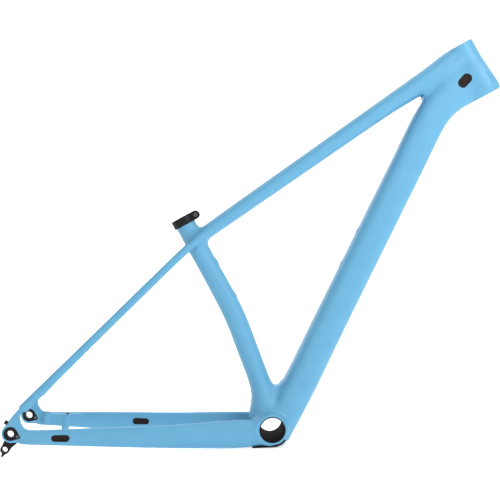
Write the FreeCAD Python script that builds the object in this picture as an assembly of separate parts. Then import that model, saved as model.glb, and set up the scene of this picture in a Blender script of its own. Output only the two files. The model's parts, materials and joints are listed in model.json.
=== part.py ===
"""Hardtail mountain-bike frame, 29 inch wheels: bonded carbon tubes, alloy inserts and a bolted seat clamp.

Row frame, in mm: origin at the centre of the bottom bracket, +X forward, +Y to the rider's left, +Z up,
with the frame in its riding attitude. The drive side is -Y.
"""
import FreeCAD, Part
import math
import os

# ---------------------------------------------------------------- frame geometry
CHAINSTAY_LENGTH = 435.0        # bottom bracket to rear axle
AXLE_RISE = 58.0                # rear axle above the bottom bracket's centre
HEAD_ANGLE = 68.5               # degrees from horizontal
SEAT_ANGLE = 68.4
HEAD_TOP = (405.5, 616.0)       # centre of the head tube's top face (X, Z): reach and stack
HEAD_LENGTH = 98.0
SEAT_TOP = (-109.6, 377.6)      # centre of the seat tube's top face (X, Z)
REAR_SPACING = 148.0            # between the dropouts' inner faces
AXLE_HOLE_R = 6.05              # plain 12 mm through axle
AXLE_THREAD_R = 5.6             # its thread, at the minor diameter

BB_WIDTH = 92.0
BB_BORE_R = 20.5
BB_SLEEVE_WALL = 1.6
BB_SHELL_R = 26.5

WALL = 1.8                      # carbon wall of the round and oval tubes
STAY_WALL = 1.5

UPPER_SEAT_R = 21.0             # 42 mm headset bearing
LOWER_SEAT_R = 26.0             # 52 mm headset bearing
SEAT_RING_DEPTH = 9.0
RING_LIP = 2.5                  # ledge under each bearing
RING_WALL = 1.5

SEATPOST_R = 15.8               # 31.6 mm post
SEAT_TUBE_R = 17.5
SEAT_BORE_DEPTH = 88.0          # stops above the upper bottle cage insert
SEAT_STRAIGHT = 95.0            # length of the straight round top, which holds the post
SLOT_WIDTH = 2.0
SLOT_LENGTH = 30.0

AXLE_X = -math.sqrt(CHAINSTAY_LENGTH ** 2 - AXLE_RISE ** 2)
AXLE_Z = AXLE_RISE

# Stations of each lofted tube: upper or front edge (X, Z), lower or rear edge (X, Z), middle Y, half width.
TOP_TUBE = [
    ((-97.0, 345.5), (-86.0, 325.5), 0.0, 24.5),
    ((-50.5, 372.4), (-38.6, 350.4), 0.0, 22.5),
    ((110.0, 458.9), (122.8, 434.2), 0.0, 20.0),
    ((260.0, 539.7), (274.2, 512.4), 0.0, 21.0),
    ((340.0, 582.6), (352.0, 548.0), 0.0, 23.5),
    ((395.0, 609.0), (404.0, 575.0), 0.0, 24.5),
]
DOWN_TUBE = [
    ((-22.0, 4.0), (20.0, -25.5), 0.0, 38.0),
    ((34.1, 80.7), (80.7, 48.5), 0.0, 34.0),
    ((100.0, 180.9), (146.6, 150.3), 0.0, 30.5),
    ((190.0, 317.7), (236.6, 287.1), 0.0, 28.0),
    ((270.0, 439.3), (316.6, 408.7), 0.0, 26.6),
    ((316.5, 509.9), (362.0, 477.5), 0.0, 26.0),
    ((352.0, 550.0), (386.5, 500.5), 0.0, 25.6),
    ((392.0, 578.0), (413.0, 513.5), 0.0, 25.3),
    ((432.0, 590.0), (447.0, 528.0), 0.0, 25.0),
]
SEAT_TUBE = [
    ((31.0, 2.0), (-24.0, 14.0), 0.0, 37.0),
    ((19.0, 44.0), (-28.5, 54.0), 0.0, 31.0),
    ((7.2, 84.0), (-30.0, 80.0), 0.0, 25.0),
    ((-5.2, 134.8), (-40.8, 126.2), 0.0, 20.5),
    ((-19.8, 194.1), (-55.0, 184.0), 0.0, 18.8),
    ((-33.4, 234.5), (-67.4, 221.5), 0.0, 18.0),
]
CHAINSTAY = [
    ((-8.0, 17.0), (-12.0, -25.5), 34.0, 11.0),
    ((-48.0, 22.0), (-54.0, -24.2), 37.5, 9.8),
    ((-100.0, 27.0), (-107.0, -17.0), 44.5, 8.8),
    ((-160.0, 32.0), (-167.0, -7.0), 54.0, 7.8),
    ((-240.0, 41.0), (-246.0, 7.2), 64.3, 7.0),
    ((-320.0, 50.2), (-325.0, 21.4), 72.0, 6.5),
    ((-385.0, 57.3), (-390.0, 33.2), 77.5, 6.0),
    ((-412.0, 60.0), (-417.0, 38.4), 78.9, 4.6),
]
SEATSTAY = [
    ((-60.0, 359.0), (-51.0, 348.0), 14.5, 4.5),
    ((-104.0, 334.0), (-96.0, 322.5), 26.0, 6.8),
    ((-131.7, 314.0), (-123.6, 303.2), 32.0, 6.5),
    ((-192.9, 267.6), (-184.7, 256.9), 45.5, 6.0),
    ((-253.0, 221.8), (-244.7, 211.2), 55.6, 5.6),
    ((-330.0, 163.4), (-321.4, 152.3), 67.3, 5.4),
    ((-390.0, 118.0), (-380.8, 106.0), 75.8, 5.0),
    ((-412.0, 101.0), (-402.0, 88.5), 78.9, 4.6),
]
# Web that closes the narrow angle between the top tube and the down tube (X, Z).
CROTCH_WEB = [(331.5, 545.0), (328.8, 537.0), (329.5, 524.0), (362.0, 540.0), (362.0, 556.0)]
CROTCH_WEB_HALF_WIDTH = 19.0
HEAD_TUBE_PROFILE = [(0.0, 29.0), (13.0, 30.5), (30.0, 28.9), (46.0, 27.4), (63.0, 25.8), (98.0, 25.0)]

DROPOUT_FACE_Y = 74.6           # carbon face just outside the 74 mm hub face
DROPOUT_OUTER_Y = 83.2
DROPOUT_END_R = 15.3            # round end about the axle
DROPOUT_OUTLINE = [             # (X, Z), from the seatstay joint round the back to the chainstay and the notch
    (-386.0, 121.0), (-418.0, 96.4), (-430.5, 85.0), (-440.0, 72.0), (-446.0, 58.0), (-442.0, 46.0),
    (-436.0, 43.0), (-417.0, 38.4), (-392.0, 33.8), (-386.0, 57.6), (-399.0, 59.0),
    (-407.5, 65.0), (-411.6, 74.0), (-411.4, 84.0), (-407.0, 91.5), (-378.0, 111.5),
]
CHAINSTAY_END = [(-394.4, 24.3), (-383.6, 67.1), (-470.0, 67.1), (-470.0, 24.3)]    # everything behind its joint
SEATSTAY_END = [(-373.0, 105.6), (-394.0, 130.5), (-470.0, 130.5), (-470.0, 70.0), (-400.0, 70.0)]
INSERT_FLANGE = 2.6             # alloy flange let into the inner face, standing to the hub face
PLATE_R = 11.5                  # round part of the teardrop insert plates
PLATE_CORNER = (-416.0, 48.2)
PLATE_CORNER_R = 2.2
PLATE_FLOOR_Z = 46.6            # their flat lower edge

FLANGE_Y = REAR_SPACING / 2
PLATE_SEAT_Y = 80.8             # axle nut plate, let into the drive-side outer face
PLATE_FACE_Y = 84.2
AXLE_BOSS_R = 8.2
SCREW_AT = (-420.3, 52.0)       # retaining screw in the corner of each insert plate
SCREW_R = 1.5
SCREW_HEAD_R = 2.7
SOCKET_R = 1.0
SOCKET_DEPTH = 0.8

HANGER_HOLE = (-443.9, 33.2)
HANGER_HOLE_R = 4.6             # M10 thread at the minor diameter
HANGER_RING_R = 7.6
HANGER_OUTER_Y = 82.4
HANGER_OUTLINE = [
    (-424.0, 48.0), (-422.5, 41.0), (-433.0, 34.2), (-438.5, 28.5), (-450.6, 21.0),
    (-451.4, 23.4), (-449.0, 28.0), (-451.0, 34.0), (-444.0, 46.5), (-441.0, 50.0),
]

PLUG_AT = (-436.6, 77.0)
PLUG_ANGLE = 145.0              # direction it faces, degrees from +X towards +Z
PLUG_R = 3.6
PLUG_INSET = 5.0
PLUG_STAND = 2.6
PLUG_HOLE_R = 2.1

BRAKE_TILT = 15.0               # degrees the brake bolts lean forward
BRAKE_FRONT = (-361.5, 52.5)    # top of the front post (X, Z)
BRAKE_SPACING = 34.0
BRAKE_Y = 67.5
BRAKE_POST_R = 6.2
BRAKE_POST_LENGTHS = (28.5, 24.0)       # front, rear
BRAKE_SLEEVE_R = 4.2
BRAKE_HOLE_R = 2.75
BRAKE_PAD_SIDE = [              # thickening that joins the posts to the stay and the dropout (X, Z)
    (-320.0, 47.5), (-350.0, 51.0), (-385.0, 55.0), (-404.0, 58.5),
    (-404.0, 40.0), (-385.0, 36.0), (-320.0, 24.0),
]
BRAKE_PAD_PLAN = [(-320.0, 70.0), (-352.0, 63.4), (-404.0, 63.4), (-404.0, 78.0), (-320.0, 78.0)]     # (X, Y)

CAGE_SPACING = 64.0
CAGE_HOLE_R = 2.1               # M5 thread at the minor diameter
CAGE_FLANGE_R = 5.8
CAGE_FLANGE_THICKNESS = 1.2
CAGE_FLANGE_STAND = 0.9         # flange face above the tube
CAGE_INSERT_R = 3.4
CAGE_INSERT_LENGTH = 12.0
DOWN_CAGE_CENTRE = (173.1, 292.0)
DOWN_TUBE_ANGLE = 56.65
SEAT_CAGE_CENTRE = (-46.0, 264.9)

PORT_RIM = 1.9
HEAD_PORT = ((402.3, 551.6), 41.0, 27.5, 17.0, 25.4)     # centre, slope, length, height, |Y| of the rim's face
RIGHT_STAY_PORT = ((-351.5, 39.5), -8.0, 30.0, 11.0, 80.9)
LEFT_STAY_PORT = ((-230.0, 24.5), -8.0, 29.4, 11.0, 56.2)

COVER_R = 30.0                  # underside cover: outer radius of its round front, about the bottom bracket
COVER_FRONT = 20.5              # X limits
COVER_BEND = -4.0               # X where the round front meets the straight rear
COVER_REAR = -38.0
COVER_REAR_Z = (-26.9, -25.75)  # its rear edge, bottom and top
COVER_HALF_WIDTH = 44.0
COVER_SCREWS_X = (-3.0, 11.0)
COVER_SCREW_R = 2.0
COVER_SCREW_LENGTH = 5.6
COVER_SCREW_HEAD_R = 3.6
COVER_SOCKET_R = 1.3
COVER_SOCKET_DEPTH = 1.1

COLLAR_INNER_R = 17.56
COLLAR_OUTER_R = 20.4
COLLAR_BOTTOM = -13.8           # along the seat axis, from the tube's top
COLLAR_TOP = 1.0
COLLAR_LIP_Z = 0.25
COLLAR_LIP_R = 16.4
BOSS_REACH = 23.4
BOSS_R = 7.4
BOSS_HALF_WIDTH = 10.5
EAR_START = 10.0                # where the boss's flat flanks begin, from the seat axis
CLAMP_GAP = 2.4
CLAMP_BOLT_R = 2.5
CLAMP_BOLT_CLEARANCE = 0.06
CLAMP_HEAD_R = 4.25
CLAMP_HEAD_CLEARANCE = 0.1
CLAMP_HEAD_HEIGHT = 4.6
CLAMP_HEAD_SEAT_Y = -6.4
CLAMP_HEAD_LIFT = 0.2           # play under the head
CLAMP_BOLT_TIP_Y = 10.1
HEX_CORNER_R = 2.3              # 4 mm key
HEX_DEPTH = 2.6
BARREL_NUT_R = 3.8
BARREL_NUT_Y = 6.0
BARREL_NUT_HALF_LENGTH = 6.4

SECTION_POINTS = 28
STATION_PITCH = 45.0


# ---------------------------------------------------------------- helpers
def vec(x, y, z):
    return FreeCAD.Vector(x, y, z)


def section(station, power, side):
    """Closed super-elliptical section whose plane holds the station's two edges and the Y direction."""
    (upper_x, upper_z), (lower_x, lower_z), middle_y, half_width = station
    centre = vec((upper_x + lower_x) / 2, side * middle_y, (upper_z + lower_z) / 2)
    depth = vec(upper_x - lower_x, 0, upper_z - lower_z) * 0.5
    width = vec(0, half_width, 0)
    points = []
    for k in range(SECTION_POINTS):
        angle = 2 * math.pi * k / SECTION_POINTS
        c = math.copysign(abs(math.cos(angle)) ** (2 / power), math.cos(angle))
        s = math.copysign(abs(math.sin(angle)) ** (2 / power), math.sin(angle))
        points.append(centre + depth * c + width * s)
    curve = Part.BSplineCurve()
    curve.interpolate(Points=points, PeriodicFlag=True)
    return Part.Wire(curve.toShape())


def inset(station, distance):
    """The same station with every edge moved inwards."""
    (upper_x, upper_z), (lower_x, lower_z), middle_y, half_width = station
    share = distance / math.hypot(upper_x - lower_x, upper_z - lower_z)
    dx = (upper_x - lower_x) * share
    dz = (upper_z - lower_z) * share
    return ((upper_x - dx, upper_z - dz), (lower_x + dx, lower_z + dz), middle_y, half_width - distance)


def flat_numbers(station):
    (upper_x, upper_z), (lower_x, lower_z), middle_y, half_width = station
    return [upper_x, upper_z, lower_x, lower_z, middle_y, half_width]


def spaced(stations):
    """Stations at an even pitch on the smooth curve through the given ones, timed by their spacing."""
    rows = [flat_numbers(s) for s in stations]
    times = [0.0]
    for a, b in zip(rows, rows[1:]):
        times.append(times[-1] + math.hypot(a[0] + a[2] - b[0] - b[2], a[1] + a[3] - b[1] - b[3]) / 2)
    slopes = []
    for k in range(len(rows)):
        before = max(k - 1, 0)
        after = min(k + 1, len(rows) - 1)
        slopes.append([(b - a) / (times[after] - times[before]) for a, b in zip(rows[before], rows[after])])
    result = []
    for k in range(len(rows) - 1):
        span = times[k + 1] - times[k]
        steps = max(1, round(span / STATION_PITCH))
        last = k == len(rows) - 2
        for step in range(steps + last):
            u = step / steps
            weights = (2 * u ** 3 - 3 * u ** 2 + 1, (u ** 3 - 2 * u ** 2 + u) * span,
                       3 * u ** 2 - 2 * u ** 3, (u ** 3 - u ** 2) * span)
            row = [weights[0] * a + weights[1] * sa + weights[2] * b + weights[3] * sb
                   for a, sa, b, sb in zip(rows[k], slopes[k], rows[k + 1], slopes[k + 1])]
            result.append(((row[0], row[1]), (row[2], row[3]), row[4], row[5]))
    return result


def loft(stations, power, side=1):
    return Part.makeLoft([section(s, power, side) for s in spaced(stations)], True, False)


def hollow_of(stations, wall, power, side=1):
    return loft([inset(s, wall) for s in stations], power, side)


def largest(shape):
    return max(shape.Solids, key=lambda solid: solid.Volume)


def without(shape, *cutters):
    for cutter in cutters:
        shape = shape.cut(cutter)
    return largest(shape)


def cylinder_y(x, z, radius, y0, y1):
    return Part.makeCylinder(radius, abs(y1 - y0), vec(x, min(y0, y1), z), vec(0, 1, 0))


def box(x0, x1, y0, y1, z0, z1):
    return Part.makeBox(x1 - x0, y1 - y0, z1 - z0, vec(x0, y0, z0))


def tube(radius, inner, base, axis, length):
    return Part.makeCylinder(radius, length, base, axis).cut(Part.makeCylinder(inner, length, base, axis))


def prism(corners, direction):
    wire = Part.makePolygon(corners + corners[:1])
    return Part.Face(wire).extrude(direction)


def prism_y(points, y0, y1):
    """Straight-sided outline in X and Z, extruded along Y."""
    return prism([vec(x, y0, z) for x, z in points], vec(0, y1 - y0, 0))


def prism_z(points, z0, z1):
    """Straight-sided outline in X and Y, extruded along Z."""
    return prism([vec(x, y, z0) for x, y in points], vec(0, 0, z1 - z0))


def hull_of_circles(first, second, y0, y1):
    """Outline round two circles ((X, Z), radius) and their outer tangents, extruded along Y."""
    (ax, az), ra = first
    (bx, bz), rb = second
    along = math.atan2(bz - az, bx - ax)
    spread = math.acos((ra - rb) / math.hypot(bx - ax, bz - az))
    corners = []
    for (x, z), r, sign in (((ax, az), ra, 1), ((bx, bz), rb, 1), ((bx, bz), rb, -1), ((ax, az), ra, -1)):
        angle = along + sign * spread
        corners.append((x + r * math.cos(angle), z + r * math.sin(angle)))
    body = prism_y(corners, y0, y1)
    body = body.fuse(cylinder_y(ax, az, ra, y0, y1))
    return body.fuse(cylinder_y(bx, bz, rb, y0, y1)).removeSplitter()


def capsule(centre, slope, length, height, y0, y1):
    reach = (length - height) / 2
    dx = reach * math.cos(math.radians(slope))
    dz = reach * math.sin(math.radians(slope))
    x, z = centre
    return hull_of_circles(((x - dx, z - dz), height / 2), ((x + dx, z + dz), height / 2 - 0.001), y0, y1)


def along(point, angle, distance):
    return (point[0] + distance * math.cos(math.radians(angle)),
            point[1] + distance * math.sin(math.radians(angle)))


# ---------------------------------------------------------------- local frames of the two inclined tubes
HEAD_UP = vec(-math.cos(math.radians(HEAD_ANGLE)), 0, math.sin(math.radians(HEAD_ANGLE)))
SEAT_UP = vec(-math.cos(math.radians(SEAT_ANGLE)), 0, math.sin(math.radians(SEAT_ANGLE)))
HEAD_BASE = vec(HEAD_TOP[0], 0, HEAD_TOP[1]) - HEAD_UP * HEAD_LENGTH
SEAT_END = vec(SEAT_TOP[0], 0, SEAT_TOP[1])


def place(shape, base, angle):
    """Local +Z becomes the inclined tube's axis, local +X points forward."""
    shape = shape.copy()
    shape.Placement = FreeCAD.Placement(base, FreeCAD.Rotation(vec(0, 1, 0), angle - 90.0))
    return shape


def head_local(shape):
    return place(shape, HEAD_BASE, HEAD_ANGLE)


def seat_local(shape):
    return place(shape, SEAT_END, SEAT_ANGLE)


# ---------------------------------------------------------------- head tube and its bearing seats
def head_tube_solid():
    curve = Part.BSplineCurve()
    curve.interpolate([vec(r, 0, h) for h, r in HEAD_TUBE_PROFILE])
    first_r = HEAD_TUBE_PROFILE[0][1]
    last_r = HEAD_TUBE_PROFILE[-1][1]
    edges = [
        curve.toShape(),
        Part.makeLine(vec(last_r, 0, HEAD_LENGTH), vec(0, 0, HEAD_LENGTH)),
        Part.makeLine(vec(0, 0, HEAD_LENGTH), vec(0, 0, 0)),
        Part.makeLine(vec(0, 0, 0), vec(first_r, 0, 0)),
    ]
    face = Part.Face(Part.Wire(edges))
    return head_local(face.revolve(vec(0, 0, 0), vec(0, 0, 1), 360))


def bearing_ring(bore_r, bottom, lip_at_top):
    """Alloy seat: a bored ring with a ledge that the bearing rests on."""
    depth = SEAT_RING_DEPTH + RING_LIP
    outer_r = bore_r + RING_WALL
    ring = tube(outer_r, bore_r, vec(0, 0, bottom), vec(0, 0, 1), depth)
    ledge_at = bottom + (SEAT_RING_DEPTH if lip_at_top else 0.0)
    ledge = tube(bore_r + 0.5, bore_r - 3.5, vec(0, 0, ledge_at), vec(0, 0, 1), RING_LIP)
    return ring.fuse(ledge).removeSplitter()


def head_bore():
    """Everything removed from inside the head tube: two ring pockets and the tapered steerer space."""
    depth = SEAT_RING_DEPTH + RING_LIP
    lower = Part.makeCylinder(LOWER_SEAT_R + RING_WALL, depth)
    upper = Part.makeCylinder(UPPER_SEAT_R + RING_WALL, depth, vec(0, 0, HEAD_LENGTH - depth))
    taper = Part.makeCone(LOWER_SEAT_R - 1.5, UPPER_SEAT_R + 0.5, HEAD_LENGTH - 2 * depth, vec(0, 0, depth))
    return head_local(lower.fuse(upper).fuse(taper))


head_outer = head_tube_solid()
head_tube = without(head_outer, head_bore())
lower_bearing_seat = head_local(bearing_ring(LOWER_SEAT_R, 0.0, True))
upper_bearing_seat = head_local(
    bearing_ring(UPPER_SEAT_R, HEAD_LENGTH - SEAT_RING_DEPTH - RING_LIP, False))

# ---------------------------------------------------------------- bottom bracket shell
HALF_BB = BB_WIDTH / 2
shell_outer = cylinder_y(0, 0, BB_SHELL_R, -HALF_BB, HALF_BB)
sleeve_r = BB_BORE_R + BB_SLEEVE_WALL
bottom_bracket_shell = without(shell_outer, cylinder_y(0, 0, sleeve_r, -HALF_BB, HALF_BB))
bottom_bracket_sleeve = tube(sleeve_r, BB_BORE_R, vec(0, -HALF_BB, 0), vec(0, 1, 0), BB_WIDTH)

# ---------------------------------------------------------------- seat tube
def round_station(radius, below_top):
    """Circular station of the seat tube's straight upper part."""
    centre = SEAT_END - SEAT_UP * below_top
    fore = (radius * math.sin(math.radians(SEAT_ANGLE)), radius * math.cos(math.radians(SEAT_ANGLE)))
    return ((centre.x + fore[0], centre.z + fore[1]), (centre.x - fore[0], centre.z - fore[1]), 0.0, radius)


seat_stations = SEAT_TUBE + [round_station(SEAT_TUBE_R, SEAT_STRAIGHT * f) for f in (1.0, 0.66, 0.33, 0.0)]
seat_outer = loft(seat_stations, power=2.0)
post_bore = Part.makeCylinder(SEATPOST_R, SEAT_BORE_DEPTH, SEAT_END - SEAT_UP * SEAT_BORE_DEPTH, SEAT_UP)
# The space below the bore begins as a narrower neck that opens into it.
neck_r = SEATPOST_R - 2.0
neck = [round_station(neck_r, SEAT_BORE_DEPTH + 4), round_station(neck_r, SEAT_BORE_DEPTH - 8)]
seat_hollow = loft([inset(s, WALL) for s in SEAT_TUBE] + neck, power=2.0)
slot_end = Part.makeCylinder(
    SLOT_WIDTH, SEAT_TUBE_R + 5, vec(-SEAT_TUBE_R - 5, 0, -SLOT_LENGTH), vec(1, 0, 0))
relief_slot = seat_local(
    box(-2 * SEAT_TUBE_R, 0, -SLOT_WIDTH / 2, SLOT_WIDTH / 2, -SLOT_LENGTH, 1.0).fuse(slot_end))
seat_tube = without(seat_outer, seat_hollow, post_bore, shell_outer, relief_slot)

# ---------------------------------------------------------------- down tube and top tube
web = prism_y(CROTCH_WEB, -CROTCH_WEB_HALF_WIDTH, CROTCH_WEB_HALF_WIDTH)
down_outer = loft(DOWN_TUBE, power=3.0).fuse(web)
down_hollow = hollow_of(DOWN_TUBE, WALL, power=3.0)
down_tube = without(down_outer, down_hollow, head_outer, shell_outer, seat_outer)

top_outer = loft(TOP_TUBE, power=2.7)
top_hollow = hollow_of(TOP_TUBE, WALL, power=2.7)
top_tube = without(top_outer, top_hollow, head_outer, seat_outer, down_outer)


# ---------------------------------------------------------------- dropouts
def dropout_outline(side, y0, y1):
    """Plate that joins the two stays round the axle; its front edge is a round notch."""
    plate = prism_y(DROPOUT_OUTLINE, side * y0, side * y1)
    return plate.fuse(cylinder_y(AXLE_X, AXLE_Z, DROPOUT_END_R, side * y0, side * y1)).removeSplitter()


def teardrop(side, y0, y1):
    """Insert plate outline: a circle about the axle drawn out to one lower front corner, flat underneath."""
    corner_x, corner_z = PLATE_CORNER
    body = hull_of_circles(((AXLE_X, AXLE_Z), PLATE_R),
                           ((corner_x - PLATE_CORNER_R, corner_z + PLATE_CORNER_R), PLATE_CORNER_R),
                           side * y0, side * y1)
    floor = box(AXLE_X - 40, AXLE_X + 40, -200, 200, PLATE_FLOOR_Z - 40, PLATE_FLOOR_Z)
    return largest(body.cut(floor))


def insert_with_boss(side, face_y, flange_end, boss_end, bore_r):
    """Teardrop flange with a bored boss that reaches through the carbon."""
    boss = cylinder_y(AXLE_X, AXLE_Z, AXLE_BOSS_R, side * face_y, side * boss_end)
    solid = teardrop(side, face_y, flange_end).fuse(boss).removeSplitter()
    return largest(solid.cut(cylinder_y(AXLE_X, AXLE_Z, bore_r, side * 60, side * 100)))


def hanger_arm():
    """Arm below the drive-side dropout, with the derailleur bolt ring and its stop tab."""
    x, z = HANGER_HOLE
    y0 = -FLANGE_Y
    y1 = -HANGER_OUTER_Y
    arm = prism_y(HANGER_OUTLINE, y0, y1)
    arm = arm.fuse(cylinder_y(x, z, HANGER_RING_R, y0, y1)).removeSplitter()
    return arm.cut(cylinder_y(x, z, HANGER_HOLE_R, -60, -100))


def dropout_screw(side, head_face, tip):
    """Countersunk retaining screw and its socket. The screw alone also cuts the hole that it sits in."""
    x, z = SCREW_AT
    face = vec(x, side * head_face, z)
    axis = vec(0, side * math.copysign(1.0, tip - head_face), 0)
    head = Part.makeCone(SCREW_HEAD_R, SCREW_R, SCREW_HEAD_R - SCREW_R, face, axis)
    screw = head.fuse(Part.makeCylinder(SCREW_R, abs(tip - head_face), face, axis)).removeSplitter()
    return screw, Part.makeCylinder(SOCKET_R, SOCKET_DEPTH, face, axis)


right_dropout_blank = dropout_outline(-1, DROPOUT_FACE_Y, DROPOUT_OUTER_Y)
flange_end_y = FLANGE_Y + INSERT_FLANGE
hanger_flange = teardrop(-1, FLANGE_Y, flange_end_y).cut(cylinder_y(AXLE_X, AXLE_Z, AXLE_HOLE_R, -60, -100))
arm = hanger_arm().cut(right_dropout_blank)
derailleur_hanger = largest(hanger_flange.fuse(arm).removeSplitter())
axle_nut_plate = insert_with_boss(-1, PLATE_FACE_Y, PLATE_SEAT_Y, flange_end_y, AXLE_THREAD_R)
left_axle_insert = insert_with_boss(1, FLANGE_Y, flange_end_y, DROPOUT_OUTER_Y + 0.4, AXLE_HOLE_R)

right_screw, right_socket = dropout_screw(-1, PLATE_FACE_Y, FLANGE_Y + 0.6)
left_screw, left_socket = dropout_screw(1, FLANGE_Y, DROPOUT_OUTER_Y - 2.0)
dropout_screws = Part.makeCompound([right_screw.cut(right_socket), left_screw.cut(left_socket)])
derailleur_hanger = without(derailleur_hanger, right_screw)
axle_nut_plate = without(axle_nut_plate, right_screw)
left_axle_insert = without(left_axle_insert, left_screw)


# ---------------------------------------------------------------- rear cable exit plug
def cable_plug():
    direction = vec(math.cos(math.radians(PLUG_ANGLE)), 0, math.sin(math.radians(PLUG_ANGLE)))
    middle_y = -(DROPOUT_FACE_Y + DROPOUT_OUTER_Y) / 2
    base = vec(PLUG_AT[0], middle_y, PLUG_AT[1]) - direction * PLUG_INSET
    length = PLUG_INSET + PLUG_STAND
    return (Part.makeCylinder(PLUG_R, length, base, direction),
            Part.makeCylinder(PLUG_HOLE_R, length, base, direction))


plug_outer, plug_hole = cable_plug()
rear_cable_plug = plug_outer.cut(plug_hole)

# ---------------------------------------------------------------- stays
right_chainstay_outer = loft(CHAINSTAY, power=2.8, side=-1)
left_chainstay_outer = loft(CHAINSTAY, power=2.8, side=1)
right_seatstay_outer = loft(SEATSTAY, power=2.3, side=-1)
left_seatstay_outer = loft(SEATSTAY, power=2.3, side=1)
main_tubes = (shell_outer, seat_outer, down_outer, top_outer)

BRAKE_UP = vec(math.sin(math.radians(BRAKE_TILT)), 0, math.cos(math.radians(BRAKE_TILT)))
BRAKE_BACK = vec(-math.cos(math.radians(BRAKE_TILT)), 0, math.sin(math.radians(BRAKE_TILT)))
front_post = vec(BRAKE_FRONT[0], BRAKE_Y, BRAKE_FRONT[1])
brake_tops = [front_post, front_post + BRAKE_BACK * BRAKE_SPACING]


def brake_cylinders(radius):
    down = BRAKE_UP * -1
    return [Part.makeCylinder(radius, length, top, down) for top, length in zip(brake_tops, BRAKE_POST_LENGTHS)]


def stay(side, outer, stations, power, end):
    """Hollow stay with a solid rear end, trimmed to the main tubes and to its joint with the dropout."""
    hollow = hollow_of(stations, STAY_WALL, power, side)
    return without(outer.cut(hollow), *main_tubes, prism_y(end, side * 60.0, side * 100.0))


right_chainstay = stay(-1, right_chainstay_outer, CHAINSTAY[:6], 2.8, CHAINSTAY_END)
left_chainstay = stay(1, left_chainstay_outer, CHAINSTAY[:6], 2.8, CHAINSTAY_END)
right_seatstay = stay(-1, right_seatstay_outer, SEATSTAY[:6], 2.3, SEATSTAY_END)
left_seatstay = stay(1, left_seatstay_outer, SEATSTAY[:6], 2.3, SEATSTAY_END)

left_dropout_blank = dropout_outline(1, DROPOUT_FACE_Y, DROPOUT_OUTER_Y)
brake_pad = prism_y(BRAKE_PAD_SIDE, 60.0, 80.0).common(prism_z(BRAKE_PAD_PLAN, 0.0, 100.0))
for post in brake_cylinders(BRAKE_POST_R):
    brake_pad = brake_pad.fuse(post)
left_chainstay = left_chainstay.fuse(brake_pad.cut(left_dropout_blank)).removeSplitter()
brake_mount_sleeves = Part.makeCompound(
    [outer.cut(inner) for outer, inner in zip(brake_cylinders(BRAKE_SLEEVE_R), brake_cylinders(BRAKE_HOLE_R))])
left_chainstay = without(left_chainstay, *brake_cylinders(BRAKE_SLEEVE_R))

right_dropout = without(right_dropout_blank, derailleur_hanger, axle_nut_plate, right_screw, plug_outer,
                        cylinder_y(AXLE_X, AXLE_Z, AXLE_BOSS_R, -60, -100))
left_dropout = without(left_dropout_blank, left_axle_insert, left_screw,
                       cylinder_y(AXLE_X, AXLE_Z, AXLE_BOSS_R, 60, 100))


# ---------------------------------------------------------------- cable ports
def port(spec, side, facing):
    """Rim and filler plug of one cable port. facing is +1 when the rim faces away from the middle plane."""
    centre, slope, length, height, face_y = spec
    outer_y = side * (face_y + facing * 0.8)
    inner_y = side * (face_y - facing * 3.4)
    rim = capsule(centre, slope, length, height, outer_y, inner_y)
    window = capsule(centre, slope, length - 2 * PORT_RIM, height - 2 * PORT_RIM, outer_y, inner_y)
    plug_face = side * (face_y - facing * 0.2)
    filler = capsule(centre, slope, length - 2 * PORT_RIM, height - 2 * PORT_RIM, plug_face, inner_y)
    return rim.cut(window), filler, rim


right_head_port_rim, right_head_port_plug, right_head_cut = port(HEAD_PORT, -1, 1)
left_head_port_rim, left_head_port_plug, left_head_cut = port(HEAD_PORT, 1, 1)
right_stay_port_rim, right_stay_port_plug, right_stay_cut = port(RIGHT_STAY_PORT, -1, 1)
left_stay_port_rim, left_stay_port_plug, left_stay_cut = port(LEFT_STAY_PORT, 1, -1)
down_tube = without(down_tube, right_head_cut, left_head_cut)
head_tube = without(head_tube, right_head_cut, left_head_cut)
right_chainstay = without(right_chainstay, right_stay_cut)
left_chainstay = without(left_chainstay, left_stay_cut)


# ---------------------------------------------------------------- bottle cage inserts
def cage_inserts(centre, angle, facing):
    """Two flanged threaded inserts along a tube; facing is the angle their mouths point to."""
    mouth = vec(math.cos(math.radians(facing)), 0, math.sin(math.radians(facing)))
    solids = []
    spaces = []
    for offset in (-CAGE_SPACING / 2, CAGE_SPACING / 2):
        x, z = along(centre, angle, offset)
        face = vec(x, 0, z) + mouth * CAGE_FLANGE_STAND
        flange = Part.makeCylinder(CAGE_FLANGE_R, CAGE_FLANGE_THICKNESS, face, mouth * -1)
        body = Part.makeCylinder(CAGE_INSERT_R, CAGE_INSERT_LENGTH, face, mouth * -1)
        outer = flange.fuse(body).removeSplitter()
        solids.append(outer.cut(Part.makeCylinder(CAGE_HOLE_R, CAGE_INSERT_LENGTH, face, mouth * -1)))
        spaces.append(outer)
    return Part.makeCompound(solids), spaces


down_tube_bottle_inserts, down_spaces = cage_inserts(DOWN_CAGE_CENTRE, DOWN_TUBE_ANGLE, DOWN_TUBE_ANGLE + 90)
seat_tube_bottle_inserts, seat_spaces = cage_inserts(SEAT_CAGE_CENTRE, 180 - SEAT_ANGLE, 90 - SEAT_ANGLE)
down_tube = without(down_tube, *down_spaces)
seat_tube = without(seat_tube, *seat_spaces)

# ---------------------------------------------------------------- cover under the bottom bracket
def on_circle(radius, x):
    """Z of the lower half of a circle about the bottom bracket."""
    return -math.sqrt(radius ** 2 - x ** 2)


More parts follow.
